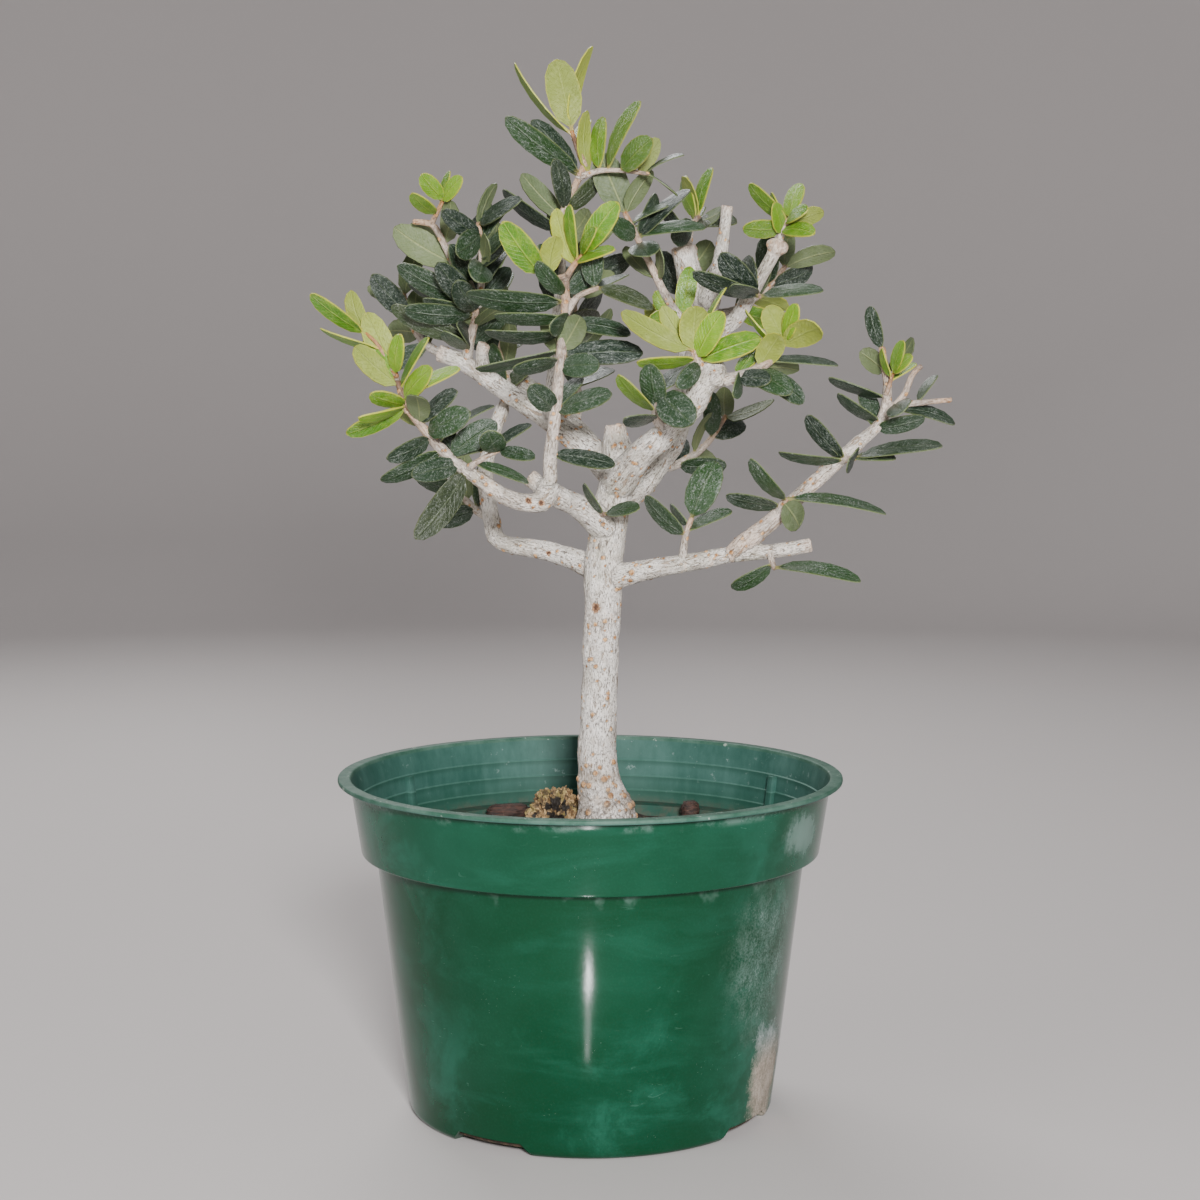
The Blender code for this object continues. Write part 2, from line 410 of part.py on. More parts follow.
def make_pot():
    pot = to_object(turned(pot_outline(), POT_SIDES), "pot", "pot")
    combine(pot, [lug(angle) for angle in LUG_ANGLES], "UNION")
    combine(pot, [notch_cutter(NOTCH_FIRST + 90 * n) for n in range(NOTCH_COUNT)], "DIFFERENCE")
    return pot


def make_soil():
    """The fill, with a plain hole for the trunk and an uneven top that stays below SOIL_TOP."""
    draw = random.Random(SEED)
    hole = TRUNK_RADIUS + 2 * GAP
    # its sides are flatter than the pot's, so it stands twice the usual gap from the wall
    wall = BODY_TOP_RADIUS - WALL - 4 * GAP
    fill = inside_outline(2 * GAP)[:-3:-1]
    top = [(wall, SOIL_TOP - 0.4)] + [(hole + (wall - hole) * share, SOIL_TOP)
                                      for share in (0.88, 0.7, 0.5, 0.3, 0.12)]
    foot = TRUNK_FOOT - GAP
    profile = fill + top + [(hole, SOIL_TOP - 0.3), (hole, foot), (0, foot)]
    shape = turned(profile, SOIL_SIDES)
    for vert in shape.verts:
        radius = math.hypot(vert.co.x, vert.co.y)
        resting = any(math.hypot(vert.co.x - x, vert.co.y - y) < r + 3 for x, y, r in RESTING)
        if vert.co.z > SOIL_TOP - 0.1 and hole + 1 < radius < wall - 1 and not resting:
            vert.co.z -= draw.uniform(0, SOIL_ROUGHNESS)
        if vert.co.z > foot - 0.01 and radius < wall - 1:
            vert.co.x += TRUNK_X * min(1, (wall - radius) / (wall - hole))
    bmesh.ops.triangulate(shape, faces=shape.faces)
    return to_object(shape, "soil", "soil")


def rough_stone(name, kind, middle, size, turn, roughness, seed):
    """A lumpy solid with a flat underside that rests on the soil."""
    draw = random.Random(seed)
    shape = bmesh.new()
    bmesh.ops.create_icosphere(shape, subdivisions=STONE_DETAIL, radius=1)
    for vert in shape.verts:
        vert.co *= 1 + draw.uniform(-roughness, roughness)
        vert.co.z = max(vert.co.z, -STONE_FLAT)
    lowest = min(vert.co.z for vert in shape.verts)
    for vert in shape.verts:
        if vert.co.z < -0.9 * STONE_FLAT:
            vert.co.z = lowest
    bmesh.ops.scale(shape, vec=size, verts=shape.verts)
    bmesh.ops.rotate(shape, verts=shape.verts, matrix=Matrix.Rotation(math.radians(turn), 3, "Z"))
    foot = min(vert.co.z for vert in shape.verts)
    bmesh.ops.translate(shape, vec=(middle[0], middle[1], SOIL_TOP + GAP - foot), verts=shape.verts)
    return to_object(shape, name, kind)


def smooth_route(points, step):
    """A Catmull-Rom curve through the points, with a point about every step mm."""
    points = [Vector(p) for p in points]
    if len(points) < 3:
        return points
    ends = [points[0] * 2 - points[1]] + points + [points[-1] * 2 - points[-2]]
    route = []
    for i in range(1, len(ends) - 2):
        a, b, c, d = ends[i - 1:i + 3]
        count = max(1, round((c - b).length / step))
        for k in range(count):
            t = k / count
            route.append(0.5 * (2 * b + (c - a) * t + (2 * a - 5 * b + 4 * c - d) * t * t
                                + (3 * b - a - 3 * c + d) * t ** 3))
    route.append(points[-1])
    return route


def tube(route, radii, sides):
    """A closed tube along a route, its rings carried along without twist."""
    shape = bmesh.new()
    along = (route[1] - route[0]).normalized()
    side = along.orthogonal().normalized()
    rings = []
    for i, point in enumerate(route):
        ahead = (route[min(i + 1, len(route) - 1)] - route[max(i - 1, 0)]).normalized()
        side = (side - ahead * side.dot(ahead)).normalized()
        other = ahead.cross(side)
        ring = []
        for k in range(sides):
            turn = math.tau * k / sides
            ring.append(shape.verts.new(point + radii[i] * (math.cos(turn) * side + math.sin(turn) * other)))
        rings.append(ring)
    for low, high in zip(rings, rings[1:]):
        for k in range(sides):
            nxt = (k + 1) % sides
            shape.faces.new((low[k], low[nxt], high[nxt], high[k]))
    shape.faces.new(rings[0][::-1])
    shape.faces.new(rings[-1])
    bmesh.ops.triangulate(shape, faces=shape.faces)
    bmesh.ops.recalc_face_normals(shape, faces=shape.faces)
    return shape


def taper(route, first, last):
    """A radius for each point of a route, changing evenly."""
    count = len(route) - 1
    return [first + (last - first) * i / count for i in range(len(route))]


def trunk_shape():
    rows = ((TRUNK_X, TRUNK_FOOT, TRUNK_RADIUS - 1), (TRUNK_X, SOIL_TOP - 3, TRUNK_RADIUS),
            (TRUNK_X, SOIL_TOP + 2, TRUNK_RADIUS + 0.6), (TRUNK_X, 92, 9.8), (3, 98, 8.2), (3, 106, 6.9),
            (2, 116, 6.2), (3, 134, 5.9), (3.5, 153, 5.8), (4, 166, 6.0), (4, 175, 6.2), (5, 184, 6.1),
            (6.5, 194, 5.9), (8, 203, 5.6), (9, 212, 5.6), (8.5, 218, 4.6), (8, 224, 3.0))
    route = [Vector((x, 0, z)) for x, z, _ in rows]
    return tube(route, [radius for _, _, radius in rows], 12)


def make_wood():
    """Trunk and limbs grew as one piece, so they are one solid."""
    wood = to_object(trunk_shape(), "wood", "wood")
    extras = []
    for name, (rows, first, last) in LIMBS.items():
        route = smooth_route([spot(*row) for row in rows], 11)
        shape = tube(route, taper(route, first, last), LIMB_SIDES)
        extras.append(to_object(shape, "limb " + name, "wood"))
    for x, depth, z, radius in KNOBS:
        shape = bmesh.new()
        bmesh.ops.create_uvsphere(shape, u_segments=7, v_segments=5, radius=radius)
        bmesh.ops.translate(shape, vec=spot(x, depth, z), verts=shape.verts)
        extras.append(to_object(shape, "knob", "wood"))
    combine(wood, extras, "UNION")
    return wood


def leaf_frame(base, tip, turn):
    """Along, across and face directions of a blade; turn 0 faces EYE."""
    along = (tip - base).normalized()
    face = (EYE - base).normalized()
    face = (face - along * face.dot(along)).normalized()
    up = along.cross(face)
    if up.z < 0:
        up = -up
        turn = -turn
    face = Matrix.Rotation(math.radians(turn if along.cross(face).z < 0 else -turn), 3, along) @ face
    return along, along.cross(face).normalized(), face


def blade(root, base, tip, width, turn, stations=LEAF_STATIONS, extra=0.0):
    """A bowed blade, flat above with a keel below; extra fattens it for the clearance test."""
    along, across, face = leaf_frame(base, tip, turn)
    length = (tip - base).length
    shape = bmesh.new()

    def ring(share, half):
        middle = base + along * (length * share) + face * (4 * LEAF_BOW * length * share * (1 - share) + extra)
        return [shape.verts.new(middle - across * half), shape.verts.new(middle + across * half),
                shape.verts.new(middle - face * (LEAF_THICKNESS + 2 * extra))]

    rings = [ring(0.06, PETIOLE / 2 + extra)]
    for share, part in stations:
        rings.append(ring(share, width / 2 * part + extra))
    start = shape.verts.new(root)
    end = shape.verts.new(tip + along * extra)
    for k in range(3):
        nxt = (k + 1) % 3
        shape.faces.new((start, rings[0][k], rings[0][nxt]))
        shape.faces.new((rings[-1][k], end, rings[-1][nxt]))
        for low, high in zip(rings, rings[1:]):
            shape.faces.new((low[k], high[k], high[nxt]))
            shape.faces.new((low[k], high[nxt], low[nxt]))
    bmesh.ops.recalc_face_normals(shape, faces=shape.faces)
    return shape


def turned_tip(base, tip, turn, change):
    """The tip after a small swing and lean about the leaf's base."""
    along, across, face = leaf_frame(base, tip, turn)
    reach = tip - base
    reach = Matrix.Rotation(math.radians(change[0]), 3, face) @ reach
    return base + Matrix.Rotation(math.radians(change[1]), 3, across) @ reach


def at_share(route, share):
    """The point at a share of a route's length, and the direction there."""
    lengths = [(b - a).length for a, b in zip(route, route[1:])]
    left = share * sum(lengths)
    for i, length in enumerate(lengths):
        if left <= length or i == len(lengths) - 1:
            ahead = (route[i + 1] - route[i]).normalized()
            return route[i] + ahead * min(left, length), ahead
        left -= length


def nearest_on(route, point):
    """The point of a route that lies nearest, away from its very ends."""
    marks = [at_share(route, 0.12 + 0.84 * n / 30)[0] for n in range(31)]
    return min(marks, key=lambda mark: (mark - point).length)


def listed_leaves(twig, route):
    """Leaves placed as seen on the tree: root, tip, width and turn."""
    for share, x, z, length, width, turn in twig["leaves"]:
        root, ahead = at_share(route, share)
        seen = spot(x, root.y, z) - root
        depth = math.sqrt(max(0.0, length * length - seen.length_squared))
        tip_depth = root.y + (depth if length < 0 else -depth)
        yield root, spot(x, tip_depth, z), width, turn, LEAF_STATIONS


def paired_leaves(twig, route, draw):
    """Opposite pairs, each pair a quarter turn from the one before, with seeded small changes."""
    if not twig["pairs"]:
        return
    first, last, count, length, width = twig["pairs"]
    for n in range(count):
        share = first + (last - first) * n / max(1, count - 1)
        root, ahead = at_share(route, share)
        side = ahead.orthogonal().normalized()
        for half in (0, 180):
            bearing = 90 * n + half + draw.uniform(-18, 18)
            outward = Matrix.Rotation(math.radians(bearing), 3, ahead) @ side
            lean = math.radians(draw.uniform(35, 60))
            reach = outward * math.sin(lean) + ahead * math.cos(lean)
            size = length * draw.uniform(0.8, 1.12)
            turn = draw.uniform(-70, 70) + 180 * (n % 2)
            yield root, root + reach * size, width * draw.uniform(0.85, 1.1), turn, HIDDEN_STATIONS


def tree_of(shape):
    return BVHTree.FromBMesh(shape)


def is_clear(shape, others):
    tree = tree_of(shape)
    return not any(tree.overlap(other) for other in others)


def room_between(shape, tree):
    """The least distance from a shape's corners to another piece's surface."""
    return min(tree.find_nearest(vert.co)[3] for vert in shape.verts)


def place_leaf(leaf, thick, own, others):
    """The first small turn at which a leaf clears its neighbours, or nothing."""
    root, tip, width, turn, stations = leaf
    for change in TURNS:
        along = (tip - root).normalized()
        base = root + along * thick
        new_tip = turned_tip(base, tip, turn, change)
        if new_tip.z < POT_HEIGHT:
            continue
        test = blade(root, base, new_tip, width, turn, extra=GAP)
        fine = is_clear(test, others)
        test.free()
        if fine and own:
            outer = base + (new_tip - base) * 0.25
            test = blade(outer, outer, new_tip, width, turn, extra=0.1)
            fine = is_clear(test, own)
            test.free()
        if fine:
            return blade(root, base, new_tip, width, turn, stations)
    return None


def seat(route, parent_tree):
    """Move a stem's start out of the piece that carries it, to just clear of its surface."""
    for i in range(len(route) - 1, 0, -1):
        back = route[i - 1] - route[i]
        hit = parent_tree.ray_cast(route[i], back.normalized(), back.length + 0.01)
        if hit[0]:
            start = hit[0] - back.normalized() * (GAP + SEAT_ROOM)
            return [start] + route[i:]
    return route


def stem_shape(route, first, last, tapered):
    radii = taper(route, first, last)
    if tapered:
        step = route[0] + (route[1] - route[0]).normalized() * min(1.2, (route[1] - route[0]).length * 0.6)
        route = [route[0], step] + route[1:]
        radii = [first * 0.45, first] + radii[1:]
    return tube(route, radii, STEM_SIDES)


def make_shoot(shoot, number, trees):
    """A leafy stem with its leaves fused to it."""
    draw = random.Random(SEED + number)
    parent = trees[shoot["parent"]]
    others = list(trees.values())
    own = []
    pieces = []
    kind = "new leaf" if shoot["name"].endswith("tip") else "leaf"
    for index, twig in enumerate(shoot["twigs"]):
        route = smooth_route([spot(*row) for row in twig["route"]], 14)
        first, last = twig["thick"]
        if index == 0:
            route = seat(route, parent)
            stem = stem_shape(route, first, last, True)
            for _ in range(SEAT_STEPS):
                if is_clear(stem, others) and room_between(stem, parent) > GAP:
                    break
                stem.free()
                route[0] = route[0] + (route[1] - route[0]).normalized() * SEAT_STEP
                stem = stem_shape(route, first, last, True)
            main_route = route
        else:
            route[0] = nearest_on(main_route, route[0])
            stem = stem_shape(route, first, last, False)
        own.append(tree_of(stem))
        pieces.append(to_object(stem, shoot["name"] if index == 0 else "twig", kind))
        leaves = list(listed_leaves(twig, route)) + list(paired_leaves(twig, route, draw))
        for leaf in leaves:
            shape = place_leaf(leaf, (first + last) / 2, own, others)
            if shape:
                own.append(tree_of(shape))
                pieces.append(to_object(shape, "leaf", kind))
    combine(pieces[0], pieces[1:], "UNION")
    return pieces[0], own


def main():
    clear_scene()
    make_pot()
    make_soil()
    rough_stone("crusty_lump", "lump", LUMP, LUMP_SIZE, turn=0, roughness=0.07, seed=3)
    rough_stone("bark_chip", "chip", BARK_CHIP, BARK_CHIP_SIZE, turn=8, roughness=0.10, seed=4)
    rough_stone("round_chip", "chip", ROUND_CHIP, ROUND_CHIP_SIZE, turn=30, roughness=0.08, seed=5)
    wood = make_wood()
    shape = bmesh.new()
    shape.from_mesh(wood.data)
    bmesh.ops.scale(shape, vec=(1 / MM,) * 3, verts=shape.verts)
    trees = {"wood": tree_of(shape)}
    for number, shoot in enumerate(SHOOTS):
        thing, own = make_shoot(shoot, number, trees)
        shape = bmesh.new()
        shape.from_mesh(thing.data)
        bmesh.ops.scale(shape, vec=(1 / MM,) * 3, verts=shape.verts)
        trees[shoot["name"]] = tree_of(shape)
        shape.free()
    for thing in bpy.data.objects:
        thing.data.shade_smooth()
        thing.data.set_sharp_from_angle(angle=math.radians(SHARP_ANGLE))


main()
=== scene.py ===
import json
import math
import random
import bpy
import bmesh
from mathutils import Matrix, Vector, noise
from mathutils.bvhtree import BVHTree
from mathutils.kdtree import KDTree

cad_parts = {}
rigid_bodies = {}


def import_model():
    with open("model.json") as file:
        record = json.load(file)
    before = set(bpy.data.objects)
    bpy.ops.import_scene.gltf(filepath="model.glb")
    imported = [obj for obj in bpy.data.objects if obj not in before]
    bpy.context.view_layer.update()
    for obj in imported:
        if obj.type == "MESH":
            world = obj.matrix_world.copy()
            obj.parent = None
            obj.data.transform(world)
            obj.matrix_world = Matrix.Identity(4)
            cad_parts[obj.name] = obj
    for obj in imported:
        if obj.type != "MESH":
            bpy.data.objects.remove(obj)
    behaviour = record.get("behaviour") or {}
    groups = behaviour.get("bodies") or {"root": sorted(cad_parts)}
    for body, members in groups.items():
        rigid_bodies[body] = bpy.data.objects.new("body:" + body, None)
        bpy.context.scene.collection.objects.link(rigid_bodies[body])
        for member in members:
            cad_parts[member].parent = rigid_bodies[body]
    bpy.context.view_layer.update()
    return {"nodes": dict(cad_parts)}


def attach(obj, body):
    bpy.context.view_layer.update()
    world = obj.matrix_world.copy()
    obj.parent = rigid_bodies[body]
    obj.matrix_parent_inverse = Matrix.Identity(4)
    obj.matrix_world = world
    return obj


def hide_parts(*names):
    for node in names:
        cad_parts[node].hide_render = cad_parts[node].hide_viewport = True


# An olive bonsai in a green nursery pot. The frame gives the sizes; the looks are made here.
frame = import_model()
mm = 0.001
eye = Vector((0.003, -0.73, 0.236))    # the tree's rows are drawn from here, in the trunk's plane


# shader maths

class Wire:    # one socket; sums written with it add their own Math nodes
    def __init__(self, paint, socket):
        self.paint = paint
        self.socket = socket

    def math(self, operation, a, b=None):
        return self.paint.node("ShaderNodeMath", {"operation": operation}, {0: a, 1: b})

    def __add__(self, other):
        return self.math("ADD", self, other)

    def __radd__(self, other):
        return self.math("ADD", other, self)

    def __sub__(self, other):
        return self.math("SUBTRACT", self, other)

    def __rsub__(self, other):
        return self.math("SUBTRACT", other, self)

    def __mul__(self, other):
        return self.math("MULTIPLY", self, other)

    def __rmul__(self, other):
        return self.math("MULTIPLY", other, self)

    def size(self):    # without its sign
        return self.math("ABSOLUTE", self)

    def least(self, other):
        return self.math("MINIMUM", self, other)

    def most(self, other):
        return self.math("MAXIMUM", self, other)

    def root(self):
        return self.math("SQRT", self)

    def between(self, low, high):    # 0 at low, 1 at high, eased
        return self.paint.node("ShaderNodeMapRange", {"interpolation_type": "SMOOTHSTEP"},
                               {0: self, 1: low, 2: high, 3: 0.0, 4: 1.0})


class Paint:    # one material
    def __init__(self, name):
        self.material = bpy.data.materials.new(name)
        self.material.use_nodes = True
        self.tree = self.material.node_tree
        self.surface = self.tree.nodes["Principled BSDF"]
        self.color = None

    def node(self, kind, settings=None, sockets=None, output=0):
        new = self.tree.nodes.new(kind)
        for key, value in (settings or {}).items():
            setattr(new, key, value)
        for key, value in (sockets or {}).items():
            self.feed(new.inputs[key], value)
        return Wire(self, new.outputs[output])

    def feed(self, socket, value):
        if isinstance(value, Wire):
            self.tree.links.new(value.socket, socket)
        elif value is not None:
            socket.default_value = (*value, 1) if socket.type == "RGBA" else value

    def place(self):
        return self.node("ShaderNodeTexCoord", output=3)

    def uv(self):
        return self.node("ShaderNodeTexCoord", output=2)

    def parts(self, vector):
        return [self.node("ShaderNodeSeparateXYZ", None, {0: vector}, k) for k in range(3)]

    def value(self, name):
        return self.node("ShaderNodeAttribute", {"attribute_name": name}, None, 2)

    def vector(self, name):
        return self.node("ShaderNodeAttribute", {"attribute_name": name}, None, 1)

    def stretched(self, vector, scale, slant=0):
        return self.node("ShaderNodeMapping", None, {0: vector, 2: (0, math.radians(slant), 0), 3: scale})

    def far(self, place, middle, weights):    # distance from the middle, each axis with its own weight
        total = 0
        for part, at, weight in zip(self.parts(place), middle, weights):
            total = total + (part - at) * (part - at) * weight
        return total.root()

    def noise(self, vector, scale, detail=3.0, roughness=0.55, distortion=0.0):
        sockets = {"Vector": vector, "Scale": scale, "Detail": detail, "Roughness": roughness,
                   "Distortion": distortion}
        return self.node("ShaderNodeTexNoise", None, sockets)

    def cells(self, vector, scale):
        return self.node("ShaderNodeTexVoronoi", None, {"Vector": vector, "Scale": scale})

    def mix(self, factor, a, b):
        return self.node("ShaderNodeMix", {"data_type": "RGBA"}, {0: factor, 6: a, 7: b}, 2)

    def lay(self, share, tint):    # one more colour over what is there
        self.color = self.mix(share, self.color, tint)

    def bump(self, height, distance, strength=1.0):
        sockets = {"Strength": strength, "Distance": distance, "Height": height}
        return self.node("ShaderNodeBump", None, sockets)

    def finish(self, roughness, normal=None, specular=0.5):
        self.feed(self.surface.inputs["Base Color"], self.color)
        self.feed(self.surface.inputs["Roughness"], roughness)
        self.feed(self.surface.inputs["Normal"], normal)
        self.feed(self.surface.inputs["Specular IOR Level"], specular)
        return self.material


# what the pieces share

def meshFrom(name, bm):
    mesh = bpy.data.meshes.new(name)
    bm.to_mesh(mesh)
    bm.free()
    return mesh


def inScene(name, data):
    thing = bpy.data.objects.new(name, data)
    bpy.context.scene.collection.objects.link(thing)
    return thing


def finishPiece(name, mesh, materials, node, sharp):
    for material in materials:
        mesh.materials.append(material)
    mesh.shade_smooth()
    mesh.set_sharp_from_angle(angle=math.radians(sharp))
    piece = inScene(name, mesh)
    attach(piece, "root")
    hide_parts(node)


def evaluated(thing):
    graph = bpy.context.evaluated_depsgraph_get()
    return bpy.data.meshes.new_from_object(thing.evaluated_get(graph))


def rotate(bm, degrees, axis):
    bmesh.ops.rotate(bm, verts=bm.verts, matrix=Matrix.Rotation(math.radians(degrees), 3, axis))


def turnedShell(profile, segments):    # radius and height rows, turned about the pot's axis
    bm = bmesh.new()
    before = None
    for radius, height in profile:
        vert = bm.verts.new((radius, 0, height))
        if before:
            bm.edges.new((before, vert))
        before = vert
    bmesh.ops.spin(bm, geom=bm.verts[:] + bm.edges[:], cent=(0, 0, 0), axis=(0, 0, 1), angle=math.tau,
                   steps=segments, use_merge=True)
    bmesh.ops.remove_doubles(bm, verts=bm.verts, dist=1e-6)
    bmesh.ops.recalc_face_normals(bm, faces=bm.faces)
    return bm


def arc(middle, radius, first, last, count):
    return [(middle[0] + radius * math.cos(math.radians(first + (last - first) * k / count)),
             middle[1] + radius * math.sin(math.radians(first + (last - first) * k / count)))
            for k in range(count + 1)]


# the pot

pot = {
    "height": 0.110, "lipRadius": 0.0825, "lipWidth": 0.0040, "lipThick": 0.0015,
    "baseRadius": 0.060, "bodyTop": 0.0702, "bandLow": 0.0854, "bandRadius": 0.075,
    "wall": 0.0014, "floor": 0.002, "skirt": 0.0011, "skirtWidth": 0.0016, "segments": 160,
    "baseRound": 0.0026, "bandRound": 0.0006, "lipRound": 0.0005, "mouthRound": 0.0006,
    "stepHeights": (0.1019, 0.0963, 0.0913), "notches": 4,
    "notchFirst": -122.0, "notchWidth": 27.0, "notchHeight": 0.004, "notchSlant": 0.0025,
    "lugAngles": (33, 147, 213, 327), "lugSize": (0.0030, 0.0030, 0.0156), "lugRadius": 0.07435,
    "lugHeight": 0.094, "lugLean": 8.4, "lugRound": 0.0004,
    "deepColor": (0.0, 0.036, 0.013), "hazeColor": (0.013, 0.110, 0.069),
    "insideDeep": (0.016, 0.068, 0.051), "insidePale": (0.058, 0.138, 0.116),
    # middles of the marks on the right: crust near the floor, scuff on the band, thin veil between them
    "crustAt": (0.0562, -0.0265, 0.015), "scuffAt": (0.066, -0.038, 0.098),
    "veilAt": (0.0555, -0.036, 0.058),
}


def potPaint():
    paint = Paint("green moulded plastic")
    place = paint.place()
    x, _, z = paint.parts(place)
    slanted = paint.stretched(place, (0.5, 1, 1.9), 18)
    wisps = paint.noise(slanted, 38, 6, 0.62, 0.9).between(0.46, 0.74)
    cloud = paint.noise(place, 26, 3, 0.55).between(0.40, 0.72)
    grain = paint.noise(place, 1500, 2, 0.6)
    onBand = z.between(pot["bandLow"] - 0.0006, pot["bandLow"] + 0.0006)
    lower = z.between(0.060, 0.020) * paint.noise(place, 34, 7, 0.68, 0.6).between(0.48, 0.66)
    sides = x.size().between(0.030, 0.064) * paint.noise(place, 42, 7, 0.66, 0.4).between(0.44, 0.62)
    haze = wisps * 0.20 + cloud * 0.16 + onBand * 0.15 + grain.between(0.4, 0.8) * 0.08
    haze = haze + lower * 0.35 + sides * 0.34
    paint.color = paint.mix(haze, pot["deepColor"], pot["hazeColor"])
    # faint drag marks, then tiny pale specks
    marks = paint.noise(slanted, 330, 2, 0.5, 0.8).between(0.66, 0.72)
    marks = marks * paint.noise(place, 40, 2).between(0.52, 0.66)
    paint.lay(marks * 0.15, (0.07, 0.18, 0.13))
    specks = paint.cells(place, 1100).between(0.09, 0.04) * paint.noise(place, 85, 2).between(0.54, 0.66)
    paint.lay(specks * 0.7, (0.36, 0.46, 0.40))
    # a grey-tan crust low on the right, a pale scuff on the band above it, dust under the lip
    crust = paint.noise(paint.stretched(place, (1, 1, 0.7)), 170, 7, 0.75)
    streaks = paint.noise(paint.stretched(place, (1, 1, 0.22)), 300, 5, 0.7)
    grit = paint.noise(place, 1400, 3, 0.7)
    ragged = paint.noise(place, 90, 7, 0.74) * 0.022 - 0.011
    low = paint.far(place, pot["crustAt"], (2.4, 0.9, 0.34)) + ragged
    dirt = low.between(0.022, 0.004) * 1.05 + crust * 0.35 + streaks * 0.25 + grit * 0.25
    dirt = dirt.between(0.80, 1.35)
    high = paint.far(place, pot["scuffAt"], (1, 0.5, 1.6)) + ragged * 0.7
    scuff = (high.between(0.020, 0.002) * 0.9 + streaks * 0.4).between(0.66, 1.15) * 0.75
    upper = paint.far(place, pot["veilAt"], (1, 0.6, 0.42)) + ragged
    veil = upper.between(0.022, 0.006) * (crust * 0.6 + grit * 0.5).between(0.42, 0.72) * 0.55
    underLip = z.between(0.1045, 0.1068) * paint.noise(place, 62, 6, 0.7).between(0.46, 0.62) * 0.45
    underBand = z.between(0.079, 0.083) * z.between(0.0862, 0.0852) * 0.3
    underBand = underBand * paint.noise(place, 80, 4).between(0.56, 0.7)
    pale = scuff.most(veil).most(underLip).most(underBand)
    paint.lay(pale, (0.160, 0.245, 0.215))
    dry = (crust * 0.5 + grit * 0.5).between(0.38, 0.62)
    chalk = paint.mix(dry, (0.110, 0.165, 0.155), (0.330, 0.375, 0.365))
    mud = paint.mix(dry, (0.190, 0.160, 0.120), (0.430, 0.370, 0.310))
    paint.lay(dirt, paint.mix(z.between(0.033, 0.020), chalk, mud))
    lipShadow = z.between(0.1074, 0.1078) * 0.85
    paint.lay(lipShadow, (0.002, 0.012, 0.007))
    roughness = 0.12 + haze * 0.14 + marks * 0.2 + pale * 0.3 + dirt * 0.5
    waves = paint.noise(place, 30, 3, 0.5) * 0.8 + paint.noise(place, 260, 3, 0.6) * 0.12
    height = waves + crust * dirt * 0.5 - marks * 0.1
    return paint.finish(roughness, paint.bump(height, 0.0006, 0.30), 0.25)


def potInsidePaint():
    paint = Paint("dusty plastic")
    place = paint.place()
    z = paint.parts(place)[2]
    cloud = paint.noise(place, 48, 5, 0.6).between(0.30, 0.72)
    smear = paint.noise(paint.stretched(place, (1, 1, 0.14)), 150, 5, 0.68)
    dull = cloud * 0.6 + smear.between(0.35, 0.75) * 0.4
    paint.color = paint.mix(dull, pot["insideDeep"], pot["insidePale"])
    spots = paint.noise(place, 260, 4, 0.7).between(0.62, 0.70) * cloud
    paint.lay(spots * 0.6, (0.26, 0.36, 0.33))
    # painted shade, darker towards the soil, with silt making it dirtier there; at each step a painted
    # highlight along its edge and a painted shadow below it
    paint.lay(z.between(0.0985, 0.0885) * 0.65, (0.010, 0.052, 0.032))
    silt = z.between(0.0905, 0.0865) * (0.5 + paint.noise(place, 210, 5, 0.72)).between(0.85, 1.1)
    paint.lay(silt * 0.75, (0.062, 0.068, 0.050))
    for level in pot["stepHeights"]:
        # a painted highlight along the step's edge
        stepHighlight = (z - (level + 0.0001)).size().between(0.0004, 0.0001) * (0.3 + smear * 0.8).least(1.0)
        paint.lay(stepHighlight * 0.30, (0.120, 0.250, 0.200))
        # a painted shadow just below the step
        below = z.between(level - 0.0022, level - 0.0004) * z.between(level + 0.0001, level - 0.0003)
        paint.lay(below * 0.45, (0.008, 0.045, 0.028))
    lip = z.between(pot["height"] - 0.0014, pot["height"] - 0.0008)
    worn = paint.noise(place, 95, 5, 0.7).between(0.30, 0.74)
    paint.lay(lip, paint.mix(worn, (0.022, 0.078, 0.050), (0.082, 0.155, 0.120)))
    nicks = lip * paint.noise(place, 300, 3, 0.6).between(0.64, 0.70)
    paint.lay(nicks * 0.5, (0.50, 0.58, 0.50))
    bump = paint.bump(cloud * 0.4 + smear * 0.5 + nicks * 0.3, 0.0005, 0.45)
    return paint.finish(0.46 + smear * 0.25, bump, 0.25)


def bodyRadius(z):
    return pot["baseRadius"] + (pot["bodyTop"] - pot["baseRadius"]) * z / pot["bandLow"]


def outerRadius(z):
    low = pot["bandLow"] + pot["skirt"] + 1e-5
    if z < low:
        return bodyRadius(z)
    neck = pot["lipRadius"] - pot["lipWidth"]
    return pot["bandRadius"] + (neck - pot["bandRadius"]) * (z - low) / (pot["height"] - low)


